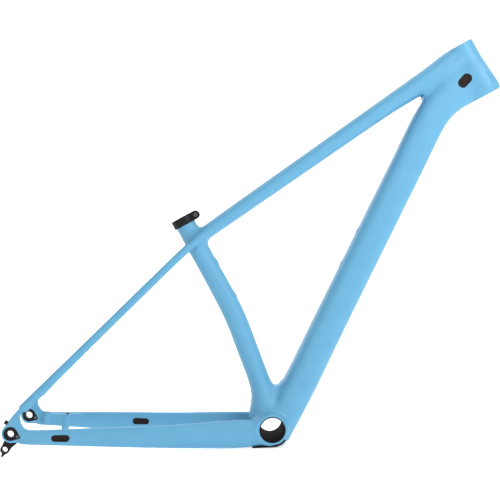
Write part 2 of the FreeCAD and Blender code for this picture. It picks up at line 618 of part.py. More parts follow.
def cover():
    """Crescent under the shell with a straight tail, extruded across the frame."""
    front_top_x = COVER_FRONT * BB_SHELL_R / COVER_R
    bend_top_x = COVER_BEND * BB_SHELL_R / COVER_R
    middle_x = (COVER_FRONT + COVER_BEND) / 2
    y = -COVER_HALF_WIDTH
    outer = [vec(x, y, on_circle(COVER_R, x)) for x in (COVER_BEND, middle_x, COVER_FRONT)]
    inner = [vec(x, y, on_circle(BB_SHELL_R, x)) for x in (front_top_x, middle_x, bend_top_x)]
    rear_bottom, rear_top = [vec(COVER_REAR, y, z) for z in COVER_REAR_Z]
    edges = [Part.makeLine(rear_bottom, outer[0]), Part.Arc(*outer).toShape(), Part.makeLine(outer[2], inner[0]),
             Part.Arc(*inner).toShape(), Part.makeLine(inner[2], rear_top), Part.makeLine(rear_top, rear_bottom)]
    return Part.Face(Part.Wire(edges)).extrude(vec(0, 2 * COVER_HALF_WIDTH, 0))


cover_body = cover()
cover_screw_solids = []
cover_spaces = []
for screw_x in COVER_SCREWS_X:
    face = vec(screw_x, 0, on_circle(COVER_R, screw_x))
    taper = COVER_SCREW_HEAD_R - COVER_SCREW_R
    head = Part.makeCone(COVER_SCREW_HEAD_R, COVER_SCREW_R, taper, face, vec(0, 0, 1))
    shank = Part.makeCylinder(COVER_SCREW_R, COVER_SCREW_LENGTH, face, vec(0, 0, 1))
    whole = head.fuse(shank).removeSplitter()
    cover_screw_solids.append(whole.cut(Part.makeCylinder(COVER_SOCKET_R, COVER_SOCKET_DEPTH, face, vec(0, 0, 1))))
    cover_spaces.append(whole)
bottom_bracket_cover_screws = Part.makeCompound(cover_screw_solids)
bottom_bracket_cover = without(cover_body, *cover_spaces)
down_tube = without(down_tube, cover_body)
bottom_bracket_shell = without(bottom_bracket_shell, *cover_spaces)


# ---------------------------------------------------------------- seat clamp, in the seat tube's local frame
def seat_clamp():
    height = COLLAR_TOP - COLLAR_BOTTOM
    middle = (COLLAR_TOP + COLLAR_BOTTOM) / 2
    ring = Part.makeCylinder(COLLAR_OUTER_R, height, vec(0, 0, COLLAR_BOTTOM))
    ears = box(EAR_START, BOSS_REACH, -BOSS_HALF_WIDTH, BOSS_HALF_WIDTH, COLLAR_BOTTOM, COLLAR_TOP)
    nose = cylinder_y(BOSS_REACH, middle, BOSS_R, -BOSS_HALF_WIDTH, BOSS_HALF_WIDTH)
    body = ring.fuse(ears).fuse(nose).removeSplitter()
    bore = Part.makeCylinder(COLLAR_INNER_R, COLLAR_LIP_Z - COLLAR_BOTTOM, vec(0, 0, COLLAR_BOTTOM))
    lip = Part.makeCylinder(COLLAR_LIP_R, height, vec(0, 0, COLLAR_BOTTOM))
    gap = box(0, BOSS_REACH + BOSS_R, -CLAMP_GAP / 2, CLAMP_GAP / 2, COLLAR_BOTTOM, COLLAR_TOP)
    head_pocket = cylinder_y(BOSS_REACH, middle, CLAMP_HEAD_R + CLAMP_HEAD_CLEARANCE,
                             -BOSS_HALF_WIDTH, CLAMP_HEAD_SEAT_Y)
    shank_hole = cylinder_y(BOSS_REACH, middle, CLAMP_BOLT_R + CLAMP_BOLT_CLEARANCE,
                            -BOSS_HALF_WIDTH, BOSS_HALF_WIDTH)
    nut_space = Part.makeCylinder(BARREL_NUT_R, height, vec(BOSS_REACH, BARREL_NUT_Y, COLLAR_BOTTOM))
    collar = without(body, bore, lip, gap, head_pocket, shank_hole, nut_space)
    nut = Part.makeCylinder(BARREL_NUT_R, 2 * BARREL_NUT_HALF_LENGTH,
                            vec(BOSS_REACH, BARREL_NUT_Y, middle - BARREL_NUT_HALF_LENGTH))
    nut = without(nut, shank_hole)
    head_base_y = CLAMP_HEAD_SEAT_Y - CLAMP_HEAD_LIFT
    head_face_y = head_base_y - CLAMP_HEAD_HEIGHT
    head = cylinder_y(BOSS_REACH, middle, CLAMP_HEAD_R, head_face_y, head_base_y)
    shank = cylinder_y(BOSS_REACH, middle, CLAMP_BOLT_R, head_base_y, CLAMP_BOLT_TIP_Y)
    corners = []
    for k in range(6):
        angle = math.radians(60 * k)
        corners.append((BOSS_REACH + HEX_CORNER_R * math.cos(angle), middle + HEX_CORNER_R * math.sin(angle)))
    socket = prism_y(corners, head_face_y, head_face_y + HEX_DEPTH)
    bolt = without(head.fuse(shank).removeSplitter(), socket)
    return seat_local(collar), seat_local(nut), seat_local(bolt)


seat_clamp_collar, seat_clamp_nut, seat_clamp_bolt = seat_clamp()

# ---------------------------------------------------------------- files
NODES = {
    "head_tube": head_tube,
    "top_tube": top_tube,
    "down_tube": down_tube,
    "seat_tube": seat_tube,
    "bottom_bracket_shell": bottom_bracket_shell,
    "bottom_bracket_sleeve": bottom_bracket_sleeve,
    "right_chainstay": right_chainstay,
    "left_chainstay": left_chainstay,
    "right_seatstay": right_seatstay,
    "left_seatstay": left_seatstay,
    "right_dropout": right_dropout,
    "left_dropout": left_dropout,
    "upper_bearing_seat": upper_bearing_seat,
    "lower_bearing_seat": lower_bearing_seat,
    "derailleur_hanger": derailleur_hanger,
    "axle_nut_plate": axle_nut_plate,
    "left_axle_insert": left_axle_insert,
    "dropout_screws": dropout_screws,
    "rear_cable_plug": rear_cable_plug,
    "right_head_port_rim": right_head_port_rim,
    "right_head_port_plug": right_head_port_plug,
    "left_head_port_rim": left_head_port_rim,
    "left_head_port_plug": left_head_port_plug,
    "right_chainstay_port_rim": right_stay_port_rim,
    "right_chainstay_port_plug": right_stay_port_plug,
    "left_chainstay_port_rim": left_stay_port_rim,
    "left_chainstay_port_plug": left_stay_port_plug,
    "brake_mount_sleeves": brake_mount_sleeves,
    "down_tube_bottle_inserts": down_tube_bottle_inserts,
    "seat_tube_bottle_inserts": seat_tube_bottle_inserts,
    "bottom_bracket_cover": bottom_bracket_cover,
    "bottom_bracket_cover_screws": bottom_bracket_cover_screws,
    "seat_clamp_collar": seat_clamp_collar,
    "seat_clamp_nut": seat_clamp_nut,
    "seat_clamp_bolt": seat_clamp_bolt,
}

os.makedirs("parts", exist_ok=True)
for name, shape in NODES.items():
    shape.exportStep(os.path.join("parts", name + ".step"))
    print(name, "valid" if shape.isValid() else "INVALID", round(shape.Volume / 1000, 2), "cm3",
          len(shape.Solids), "solid(s)")
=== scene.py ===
"""Looks of the bicycle frame: one smooth painted carbon skin split into its members, and the hardware."""
import json
import math

import bpy
import numpy as np
from mathutils import Matrix, Vector


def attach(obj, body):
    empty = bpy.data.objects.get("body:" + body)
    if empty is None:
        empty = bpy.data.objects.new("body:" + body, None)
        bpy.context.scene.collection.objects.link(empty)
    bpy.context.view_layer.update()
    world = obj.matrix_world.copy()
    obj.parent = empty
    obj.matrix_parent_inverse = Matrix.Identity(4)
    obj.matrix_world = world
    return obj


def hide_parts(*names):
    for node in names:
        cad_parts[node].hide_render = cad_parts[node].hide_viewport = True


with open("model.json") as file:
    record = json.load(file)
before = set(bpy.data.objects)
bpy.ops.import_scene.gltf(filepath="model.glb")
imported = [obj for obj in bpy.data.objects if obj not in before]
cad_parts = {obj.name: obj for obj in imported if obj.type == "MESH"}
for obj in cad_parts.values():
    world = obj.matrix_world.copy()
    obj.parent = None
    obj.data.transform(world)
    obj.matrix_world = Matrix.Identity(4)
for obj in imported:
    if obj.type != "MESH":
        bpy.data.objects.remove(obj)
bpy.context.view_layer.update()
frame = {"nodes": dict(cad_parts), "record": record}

MM = 0.001
NODES = frame["nodes"]

# ------------------------------------------------------------------ dimensions, in mm, as in the CAD design
HEAD_ANGLE = math.radians(68.5)
SEAT_ANGLE = math.radians(68.4)
HEAD_TOP = np.array([405.5, 616.0])
HEAD_LENGTH = 98.0
SEAT_TOP = np.array([-109.6, 377.6])
AXLE = np.array([-431.1159, 58.0])
HALF_BB = 46.0
SHELL_R = 26.5
SLEEVE_R = 22.1
SEAT_TUBE_R = 17.5
POST_R = 15.8

# Stations of each tube: upper or front edge (X, Z), lower or rear edge (X, Z), middle Y, half width.
TOP_TUBE = [
    (-97.0, 345.5, -86.0, 325.5, 0.0, 24.5),
    (-50.5, 372.4, -38.6, 350.4, 0.0, 22.5),
    (110.0, 458.9, 122.8, 434.2, 0.0, 20.0),
    (260.0, 539.7, 274.2, 512.4, 0.0, 21.0),
    (340.0, 583.2, 352.0, 548.0, 0.0, 23.0),
    (380.0, 606.8, 390.0, 568.0, 0.0, 22.8),
    (403.5, 620.0, 418.0, 583.0, 0.0, 22.6),
]
DOWN_TUBE = [
    (-22.0, 4.0, 25.5, -30.0, 0.0, 38.0),
    (34.1, 80.7, 80.7, 48.5, 0.0, 34.0),
    (100.0, 180.9, 146.6, 150.3, 0.0, 30.5),
    (190.0, 317.7, 236.6, 287.1, 0.0, 28.0),
    (270.0, 439.3, 316.6, 408.7, 0.0, 26.6),
    (316.5, 509.9, 362.0, 477.5, 0.0, 26.0),
    (352.0, 550.0, 386.5, 500.5, 0.0, 25.6),
    (392.0, 578.0, 413.0, 513.5, 0.0, 25.3),
    (432.0, 590.0, 447.0, 528.0, 0.0, 25.0),
]
SEAT_TUBE = [
    (31.0, 2.0, -38.0, 18.0, 0.0, 37.0),
    (19.0, 44.0, -28.5, 54.0, 0.0, 31.0),
    (7.2, 84.0, -30.0, 80.0, 0.0, 25.0),
    (-5.2, 134.8, -40.8, 126.2, 0.0, 20.5),
    (-19.8, 194.1, -55.0, 184.0, 0.0, 18.8),
    (-33.4, 234.5, -67.4, 221.5, 0.0, 18.0),
]
CHAINSTAY = [
    (-8.0, 17.0, -12.0, -25.5, 34.0, 11.0),
    (-48.0, 22.0, -54.0, -24.2, 37.5, 9.8),
    (-100.0, 27.0, -107.0, -17.0, 44.5, 8.8),
    (-160.0, 32.0, -167.0, -7.0, 54.0, 7.8),
    (-240.0, 41.0, -246.0, 7.2, 64.3, 7.0),
    (-320.0, 50.2, -325.0, 21.4, 72.0, 6.5),
    (-385.0, 57.3, -390.0, 33.2, 77.5, 6.0),
    (-412.0, 60.0, -417.0, 38.4, 78.9, 4.6),
]
SEATSTAY = [
    (-60.0, 359.0, -51.0, 348.0, 14.5, 4.5),
    (-104.0, 334.0, -96.0, 322.5, 26.0, 6.8),
    (-131.7, 314.0, -123.6, 303.2, 32.0, 6.5),
    (-192.9, 267.6, -184.7, 256.9, 45.5, 6.0),
    (-253.0, 221.8, -244.7, 211.2, 55.6, 5.6),
    (-330.0, 163.4, -321.4, 152.3, 67.3, 5.4),
    (-390.0, 118.0, -380.8, 106.0, 75.8, 5.0),
    (-412.0, 101.0, -402.0, 88.5, 78.9, 4.6),
]
HEAD_PROFILE = [                # height above the head tube's foot, and radius
    (-8.0, 28.0), (0.0, 28.8), (13.0, 30.0), (30.0, 28.3), (46.0, 26.7), (63.0, 25.1), (98.0, 24.3),
    (106.0, 24.3),
]
HEAD_BORE_PROFILE = [
    (-4.0, 28.2), (0.0, 28.2), (0.7, 27.5), (11.5, 27.5), (11.5, 24.5), (86.5, 21.5), (86.5, 22.5),
    (97.3, 22.5), (98.0, 23.2), (102.0, 23.2),
]
DROPOUT_OUTLINE = [
    (-386.0, 119.6), (-417.4, 95.2), (-429.6, 84.0), (-439.6, 71.6), (-446.0, 58.0), (-442.0, 46.0),
    (-436.0, 43.0), (-417.0, 38.4), (-392.0, 33.8), (-386.0, 57.6), (-399.0, 59.0),
    (-407.5, 65.0), (-411.6, 74.0), (-411.4, 84.0), (-407.0, 91.5), (-378.0, 111.5),
]
DROPOUT_Y = (74.6, 83.2)
DROPOUT_INSET = 1.5             # makes room for the blend with the stays
DROPOUT_EYE_R = 15.3
AXLE_HOLE_R = 8.0
CABLE_HOLE_AT = np.array([-436.6, -78.9, 77.0])
CABLE_HOLE_ANGLE = math.radians(145.0)
CABLE_HOLE_R = 3.5
BRAKE_PAD_SIDE = [
    (-320.0, 47.5), (-350.0, 51.0), (-385.0, 55.0), (-404.0, 58.5), (-404.0, 40.0), (-385.0, 36.0),
    (-320.0, 24.0),
]
BRAKE_PAD_PLAN = [(-320.0, 70.0), (-352.0, 63.4), (-404.0, 63.4), (-404.0, 78.0), (-320.0, 78.0)]
BRAKE_TILT = math.radians(15.0)
BRAKE_FRONT = np.array([-361.5, 67.5, 52.5])
BRAKE_SPACING = 34.0
BRAKE_POST_R = 6.8
BRAKE_POST_LENGTHS = (28.5, 24.0)
BRAKE_HOLE_R = 4.15
SEAT_BORE_DEPTH = 88.0
SLOT_DEPTH = 30.0               # relief slot at the rear of the seat tube's top
SLOT_HALF_WIDTH = 1.0
SLOT_END_R = 2.0
SLOT_REACH = (4.0, 40.0)        # from the seat tube's axis to the rear

# Webs fill the corners where members meet. Their round inner edges are arcs: centre (X, Z), radius, first and
# last direction in degrees. Their half widths follow X.
HEAD_WEB_ARC = ((327.0, 535.2), 4.4, -33, 117)
HEAD_WEB_REST = [
    (346.0, 565.0), (400.0, 592.0), (424.0, 560.0), (420.0, 540.0), (395.0, 520.0), (372.0, 508.0),
]
HEAD_WEB_X = (326.0, 372.0)
HEAD_WEB_HALF_WIDTHS = (14.0, 22.5)
SHELL_WEB_ARC = ((17.8, 80.5), 13.0, 195, 325)
SHELL_WEB_FOOT = [(34.0, 50.0), (4.0, 50.0)]
SHELL_WEB_X = (0.0, 36.0)
SHELL_WEB_HALF_WIDTHS = (20.0, 21.0)

SHELL_FACE_GAP = 0.3            # paint left on the shell's faces
SHELL_FACE_R = 24.5             # the flat part of a face
SHELL_FACE_SLOPE = 0.35
SHELL_FOOT_Z = 27.0             # depth of the lowest paint under the shell
CORNER_Z = 14.0                 # below this the down tube's front corner turns round the shell
CORNER_REACH = 40.0             # its distance from the bore's axis

BOSS_R = 6.6
BOSS_HEIGHT = 1.1
BOSS_ROOT = 8.0
BOSS_HOLE_R = 2.5
CAGE_SPACING = 64.0
CAGES = {                       # centre (X, Z), direction along the tube and direction of the mouths
    "down_tube": ((173.1, 292.0), 56.65, 146.65),
    "seat_tube": ((-46.0, 264.9), 111.6, 21.6),
}

HEAD_UP = np.array([-math.cos(HEAD_ANGLE), math.sin(HEAD_ANGLE)])
HEAD_FORE = np.array([math.sin(HEAD_ANGLE), math.cos(HEAD_ANGLE)])
SEAT_UP = np.array([-math.cos(SEAT_ANGLE), math.sin(SEAT_ANGLE)])
SEAT_FORE = np.array([math.sin(SEAT_ANGLE), math.cos(SEAT_ANGLE)])
HEAD_BASE = HEAD_TOP - HEAD_UP * HEAD_LENGTH
BRAKE_UP = np.array([math.sin(BRAKE_TILT), 0.0, math.cos(BRAKE_TILT)])
BRAKE_BACK = np.array([-math.cos(BRAKE_TILT), 0.0, math.sin(BRAKE_TILT)])

# ------------------------------------------------------------------ distance field of the painted skin
CELL = 1.6
LOW = np.array([-456.3, -92.43, -36.2])         # no flat side lies on a plane of the grid
HIGH = np.array([478.0, 92.5, 640.0])
FAR = 40.0
GRID = [np.arange(LOW[k], HIGH[k], CELL) for k in range(3)]
field = np.full([len(axis) for axis in GRID], FAR, np.float32)


def smooth_union(a, b, radius):
    share = np.clip(0.5 + 0.5 * (a - b) / radius, 0.0, 1.0)
    return a * (1 - share) + b * share - radius * share * (1 - share)


def smooth_limit(a, b, radius):
    """Intersection with a rounded edge."""
    return -smooth_union(-a, -b, radius)


def window(low, high):
    """Slices and coordinates of the part of the grid inside a box."""
    slices = []
    coordinates = []
    for k in range(3):
        first = max(int(np.searchsorted(GRID[k], low[k])), 0)
        last = min(int(np.searchsorted(GRID[k], high[k])), len(GRID[k]))
        slices.append(slice(first, last))
        coordinates.append(GRID[k][first:last])
    return tuple(slices), coordinates


def add(slices, distance, radius):
    field[slices] = smooth_union(field[slices], distance.astype(np.float32), radius)


def dense(stations, pitch=2.0):
    """Closely spaced stations on the smooth curve through the given ones."""
    rows = np.array(stations, float)
    centres = (rows[:, 0:2] + rows[:, 2:4]) / 2
    times = np.concatenate([[0.0], np.cumsum(np.linalg.norm(np.diff(centres, axis=0), axis=1))])
    slopes = np.gradient(rows, times, axis=0, edge_order=1)
    for k in range(1, len(rows) - 1):
        slopes[k] = (rows[k + 1] - rows[k - 1]) / (times[k + 1] - times[k - 1])
    result = []
    for k in range(len(rows) - 1):
        span = times[k + 1] - times[k]
        u = np.arange(0.0, 1.0, pitch / span)[:, None]
        result.append((2 * u ** 3 - 3 * u ** 2 + 1) * rows[k] + (u ** 3 - 2 * u ** 2 + u) * span * slopes[k]
                      + (3 * u ** 2 - 2 * u ** 3) * rows[k + 1] + (u ** 3 - u ** 2) * span * slopes[k + 1])
    result.append(rows[-1:])
    return np.concatenate(result)


def add_tube(stations, power, radius, side=1):
    """A lofted tube of super-elliptical sections. Each section lies in the plane of its two edges and Y."""
    rows = dense(stations)
    margin = radius + 4.0
    edges = np.concatenate([rows[:, 0:2], rows[:, 2:4]])
    reach = np.max(rows[:, 5]) + margin
    middles = side * rows[:, 4]
    low = (edges[:, 0].min() - margin, middles.min() - reach, edges[:, 1].min() - margin)
    high = (edges[:, 0].max() + margin, middles.max() + reach, edges[:, 1].max() + margin)
    slices, (xs, ys, zs) = window(low, high)
    x, z = np.meshgrid(xs, zs, indexing="ij")
    centres = (rows[:, 0:2] + rows[:, 2:4]) / 2
    depth = rows[:, 0:2] - rows[:, 2:4]
    half_depth = np.linalg.norm(depth, axis=1) / 2
    across = depth / (2 * half_depth[:, None])
    index = np.arange(len(rows), dtype=float)
    steps = np.gradient(centres, axis=0)
    ahead = np.stack([across[:, 1], -across[:, 0]], axis=1)
    ahead *= np.sign(np.sum(ahead * steps, axis=1))[:, None]
    pace = np.abs(np.sum(ahead * steps, axis=1))

    def at(place, values):
        return np.interp(place, index, values)

    def reach_along(place, directions):
        """How far each point lies from the station's centre, along one of the station's directions."""
        return ((x - at(place, centres[:, 0])) * at(place, directions[:, 0])
                + (z - at(place, centres[:, 1])) * at(place, directions[:, 1]))

    # The station nearest to each point of the side view, found roughly and then made exact.
    coarse = centres[::8]
    gap = (x[..., None] - coarse[:, 0]) ** 2 + (z[..., None] - coarse[:, 1]) ** 2
    place = np.argmin(gap, axis=-1) * 8.0
    last = len(rows) - 1.0
    for _ in range(7):
        place = np.clip(place + reach_along(place, ahead) / at(place, pace), 0.0, last)
    beyond = np.abs(reach_along(place, ahead))
    beyond[(place > 0) & (place < last)] = 0.0
    beyond = beyond[:, None, :]

    deep = at(place, half_depth)[:, None, :]
    wide = at(place, rows[:, 5])[:, None, :]
    middle = side * at(place, rows[:, 4])[:, None, :]
    p = np.maximum(np.abs(reach_along(place, across)[:, None, :]) / deep, 1e-4)
    q = np.maximum(np.abs(ys[None, :, None] - middle) / wide, 1e-4)
    size = (p ** power + q ** power) ** (1 / power)
    steepness = np.sqrt((p ** (power - 1) / deep) ** 2 + (q ** (power - 1) / wide) ** 2)
    distance = (size - 1) / (size ** (1 - power) * steepness)
    distance = np.where(beyond > 0, np.maximum(distance, beyond), distance)
    add(slices, np.clip(distance, -FAR, FAR), radius)


def dense_profile(points):
    rows = dense([(h, r, h, r, 0.0, 0.0) for h, r in points], pitch=1.0)
    return rows[:, 0], rows[:, 1]


def add_head(radius):
    """Head tube, a little longer than its final length at both ends."""
    slices, (xs, ys, zs) = window((350.0, -45.0, 495.0), HIGH)
    x = xs[:, None, None] - HEAD_BASE[0]
    y = ys[None, :, None]
    z = zs[None, None, :] - HEAD_BASE[1]
    height = x * HEAD_UP[0] + z * HEAD_UP[1]
    fore = x * HEAD_FORE[0] + z * HEAD_FORE[1]
    heights, radii = dense_profile(HEAD_PROFILE)
    distance = np.sqrt(fore ** 2 + y ** 2) - np.interp(height, heights, radii)
    over = np.maximum(-1.5 - height, height - HEAD_LENGTH - 1.5)
    add(slices, np.maximum(distance, over), radius)


def outline_distance(points, x, z, rounding=0):
    """Signed distance to a closed straight-sided outline, with its corners softened."""
    corners = np.array(points, float)
    nearest = np.full(x.shape, 1e9)
    inside = np.zeros(x.shape, bool)
    for (ax, az), (bx, bz) in zip(corners, np.roll(corners, -1, axis=0)):
        dx = bx - ax
        dz = bz - az
        t = np.clip(((x - ax) * dx + (z - az) * dz) / (dx * dx + dz * dz), 0, 1)
        nearest = np.minimum(nearest, np.hypot(x - ax - t * dx, z - az - t * dz))
        crosses = (az > z) != (bz > z)
        safe = dz if dz else 1.0
        inside ^= crosses & (x < ax + (z - az) * dx / safe)
    signed = np.where(inside, -nearest, nearest)
    for _ in range(rounding):
        padded = np.pad(signed, 1, mode="edge")
        signed = (padded[1:-1, 1:-1] * 2 + padded[:-2, 1:-1] + padded[2:, 1:-1]
                  + padded[1:-1, :-2] + padded[1:-1, 2:]) / 6
    return signed


def arc(centre, radius, first, last, steps=10):
    """Points of a circular arc, directions in degrees."""
    angles = np.radians(np.linspace(first, last, steps + 1))
    return [(centre[0] + radius * math.cos(t), centre[1] + radius * math.sin(t)) for t in angles]


def add_web(outline, plan_x, half_widths, edge, radius):
    """Slab on the middle plane, whose half width follows X."""
    low_x, low_z = np.min(outline, axis=0) - 10.0
    high_x, high_z = np.max(outline, axis=0) + 10.0
    reach = max(half_widths) + 10.0
    slices, (xs, ys, zs) = window((low_x, -reach, low_z), (high_x, reach, high_z))
    x, z = np.meshgrid(xs, zs, indexing="ij")
    flat = outline_distance(outline, x, z, rounding=1)
    slab = np.abs(ys)[None, :] - np.interp(xs, plan_x, half_widths)[:, None]
    shape = (len(xs), len(ys), len(zs))
    add(slices, smooth_limit(np.broadcast_to(flat[:, None, :], shape),
                             np.broadcast_to(slab[:, :, None], shape), edge), radius)


def trim_shell():
    """Flat faces round the bore, and a rounded corner under the front of the shell."""
    slices, (xs, ys, zs) = window((-70.0, -70.0, LOW[2]), (80.0, 70.0, 70.0))
    away = np.hypot(xs[:, None], zs[None, :])[:, None, :]
    face = (np.abs(ys)[None, :, None] - HALF_BB - SHELL_FACE_GAP
            - SHELL_FACE_SLOPE * np.maximum(away - SHELL_FACE_R, 0.0))
    under = np.minimum(away[:, 0, :] - CORNER_REACH, -zs[None, :] - CORNER_Z)
    under = np.maximum(under, -SHELL_FOOT_Z - zs[None, :])
    under = np.where(xs[:, None] > 0, under, -FAR)
    trimmed = smooth_limit(field[slices], face.astype(np.float32), 3.0)
    field[slices] = smooth_limit(trimmed, (under[:, None, :] + 0 * face).astype(np.float32), 3.0)


def direction(angle):
    """Unit vector in X and Z, from degrees."""
    return np.array([math.cos(math.radians(angle)), math.sin(math.radians(angle))])


def cage_points(centre, angle):
    """Places of the two inserts of one bottle cage."""
    step = direction(angle) * CAGE_SPACING / 2
    return [np.array(centre) - step, np.array(centre) + step]


def add_boss(point, facing, radius):
    """Painted dome round one bottle cage insert."""
    mouth = direction(facing)
    room = 12.0
    slices, (xs, ys, zs) = window((point[0] - room, -room, point[1] - room),
                                  (point[0] + room, room, point[1] + room))
    dx = xs[:, None, None] - point[0]
    dz = zs[None, None, :] - point[1]
    y = ys[None, :, None]
    height = dx * mouth[0] + dz * mouth[1]
    along = dx * mouth[1] - dz * mouth[0]
    round_wall = np.sqrt(along ** 2 + y ** 2) - BOSS_R
    ends = np.maximum(height - BOSS_HEIGHT, -BOSS_ROOT - height) + 0 * y
    add(slices, smooth_limit(round_wall, ends, 1.6), radius)


def add_dropout(side, radius):
    """Flat plate with a round eye at the axle."""
    middle = side * sum(DROPOUT_Y) / 2
    half = (DROPOUT_Y[1] - DROPOUT_Y[0]) / 2
    slices, (xs, ys, zs) = window((-456.0, side * 79.0 - 14.0, 26.0), (-366.0, side * 79.0 + 14.0, 134.0))
    x, z = np.meshgrid(xs, zs, indexing="ij")
    flat = outline_distance(DROPOUT_OUTLINE, x, z, rounding=3) + DROPOUT_INSET
    flat = smooth_union(flat, np.hypot(x - AXLE[0], z - AXLE[1]) - DROPOUT_EYE_R, 3.0)
    slab = np.abs(ys - middle) - half
    shape = (len(xs), len(ys), len(zs))
    add(slices, smooth_limit(np.broadcast_to(flat[:, None, :], shape),
                             np.broadcast_to(slab[None, :, None], shape), 2.2), radius)


def add_shell(radius):
    """Short cylinder round the bottom bracket."""
    slices, (xs, ys, zs) = window((-45.0, -HALF_BB - 8, -36.0), (45.0, HALF_BB + 8, 45.0))
    ring = np.hypot(xs[:, None], zs[None, :]) - SHELL_R
    slab = np.abs(ys) - HALF_BB
    shape = (len(xs), len(ys), len(zs))
    add(slices, smooth_limit(np.broadcast_to(ring[:, None, :], shape),
                             np.broadcast_to(slab[None, :, None], shape), 2.0), radius)


def add_brake_mounts(radius):
    """Pad on the left chainstay with the two posts of the brake."""
    slices, (xs, ys, zs) = window((-415.0, 54.0, 14.0), (-310.0, 84.0, 70.0))
    x, z = np.meshgrid(xs, zs, indexing="ij")
    side = outline_distance(BRAKE_PAD_SIDE, x, z, rounding=2)
    px, py = np.meshgrid(xs, ys, indexing="ij")
    plan = outline_distance(BRAKE_PAD_PLAN, px, py, rounding=2)
    shape = (len(xs), len(ys), len(zs))
    distance = smooth_limit(np.broadcast_to(side[:, None, :], shape),
                            np.broadcast_to(plan[:, :, None], shape), 1.6)
    for top, length in zip((BRAKE_FRONT, BRAKE_FRONT + BRAKE_BACK * BRAKE_SPACING), BRAKE_POST_LENGTHS):
        dx = xs[:, None, None] - top[0]
        dy = ys[None, :, None] - top[1]
        dz = zs[None, None, :] - top[2]
        height = dx * BRAKE_UP[0] + dz * BRAKE_UP[2]
        fore = dx * BRAKE_UP[2] - dz * BRAKE_UP[0]
        post = np.sqrt(fore ** 2 + dy ** 2) - BRAKE_POST_R
        ends = np.maximum(height, -length - height)
        distance = smooth_union(distance, smooth_limit(post, ends + 0 * post, 2.4), 2.0)
    add(slices, distance, radius)


def round_station(below_top):
    """Station in the round upper part of the seat tube."""
    centre = SEAT_TOP - SEAT_UP * below_top
    front = centre + SEAT_FORE * SEAT_TUBE_R
    rear = centre - SEAT_FORE * SEAT_TUBE_R
    return (*front, *rear, 0.0, SEAT_TUBE_R)


add_head(radius=1.0)
add_tube(DOWN_TUBE, power=3.0, radius=9.0)
add_tube(TOP_TUBE, power=2.7, radius=6.0)
add_web(arc(*HEAD_WEB_ARC) + HEAD_WEB_REST, HEAD_WEB_X, HEAD_WEB_HALF_WIDTHS, edge=7.0, radius=6.0)
add_tube(SEAT_TUBE + [round_station(b) for b in (95.0, 62.7, 31.4, -2.0)], power=2.0, radius=12.0)
add_web(arc(*SHELL_WEB_ARC) + SHELL_WEB_FOOT, SHELL_WEB_X, SHELL_WEB_HALF_WIDTHS, edge=12.0, radius=7.0)
add_shell(radius=10.0)
for side in (-1, 1):
    add_tube(CHAINSTAY, power=2.8, radius=11.0, side=side)
    add_tube(SEATSTAY, power=2.3, radius=5.0, side=side)
    add_dropout(side, radius=4.0)
trim_shell()
add_brake_mounts(radius=3.0)
for cage_centre, cage_angle, cage_facing in CAGES.values():
    for cage_point in cage_points(cage_centre, cage_angle):
        add_boss(cage_point, cage_facing, radius=1.5)


# ------------------------------------------------------------------ surface of the field
def corner_step(k):
    """Step from a cell's first corner to its corner number k, in cells."""
    return k & 1, k >> 1 & 1, k >> 2 & 1


def corner_values(cells):
    """Field at the eight corners of each cell."""
    values = np.empty((len(cells), 8), np.float32)
    for k in range(8):
        i, j, m = corner_step(k)
        values[:, k] = field[cells[:, 0] + i, cells[:, 1] + j, cells[:, 2] + m]
    return values


def sample(points):
    """Field between the grid points."""
    place = (points - LOW) / CELL
    cells = np.clip(np.floor(place).astype(int), 0, np.array(field.shape) - 2)
    u = place - cells
    values = corner_values(cells)
    result = np.zeros(len(points))
    for k in range(8):
        weight = np.ones(len(points))
        for axis in range(3):
            share = u[:, axis]
            weight = weight * (share if k >> axis & 1 else 1 - share)
        result += weight * values[:, k]
    return result


def gradient(points, step=1.2):
    """Direction and steepness of the field."""
    result = np.empty((len(points), 3))
    for axis in range(3):
        move = np.zeros(3)
        move[axis] = step
        result[:, axis] = sample(points + move) - sample(points - move)
    result /= 2 * step
    return result


def skin_mesh():
    """Closed surface where the field is zero: one point in each cell that it crosses, joined across the
    grid's edges."""
    inside = field < 0
    mixed = np.zeros([n - 1 for n in field.shape], np.uint8)
    for k in range(8):
        part = tuple(slice(step, size - 1 + step) for step, size in zip(corner_step(k), field.shape))
        mixed += inside[part]
    cells = np.argwhere((mixed > 0) & (mixed < 8))
    keys = np.ravel_multi_index(cells.T, mixed.shape)
    values = corner_values(cells)
    total = np.zeros((len(cells), 3))
    count = np.zeros(len(cells))
    for first in range(8):
        for axis in range(3):
            second = first | 1 << axis
            if second == first:
                continue
            a = values[:, first]
            b = values[:, second]
            crossed = (a < 0) != (b < 0)
            share = np.where(crossed, a / np.where(crossed, a - b, 1), 0)
            for other in range(3):
                start = float(first >> other & 1)
                total[:, other] += crossed * (share if other == axis else start)
            count += crossed
    points = LOW + (cells + total / count[:, None]) * CELL
    for _ in range(3):
        slope = gradient(points)
        length2 = np.maximum(np.sum(slope ** 2, axis=1), 0.05)
        points -= slope * (sample(points) / length2)[:, None] * 0.9
    faces = []
    for axis in range(3):
        ahead = [slice(None)] * 3
        behind = [slice(None)] * 3
        ahead[axis] = slice(1, None)
        behind[axis] = slice(None, -1)
        start = inside[tuple(behind)]
        crossing = np.argwhere(start != inside[tuple(ahead)])
        one, two = [k for k in range(3) if k != axis]
        quad = []
        for da, db in ((1, 1), (0, 1), (0, 0), (1, 0)):
            corner = crossing.copy()
            corner[:, one] -= da
            corner[:, two] -= db
            quad.append(np.searchsorted(keys, np.ravel_multi_index(corner.T, mixed.shape)))
        quad = np.stack(quad, axis=1)
        leaving = start[tuple(crossing.T)]
        flip = leaving != (axis == 1)
        quad[~flip] = quad[~flip][:, ::-1]
        faces.append(quad)
    return points, np.concatenate(faces)


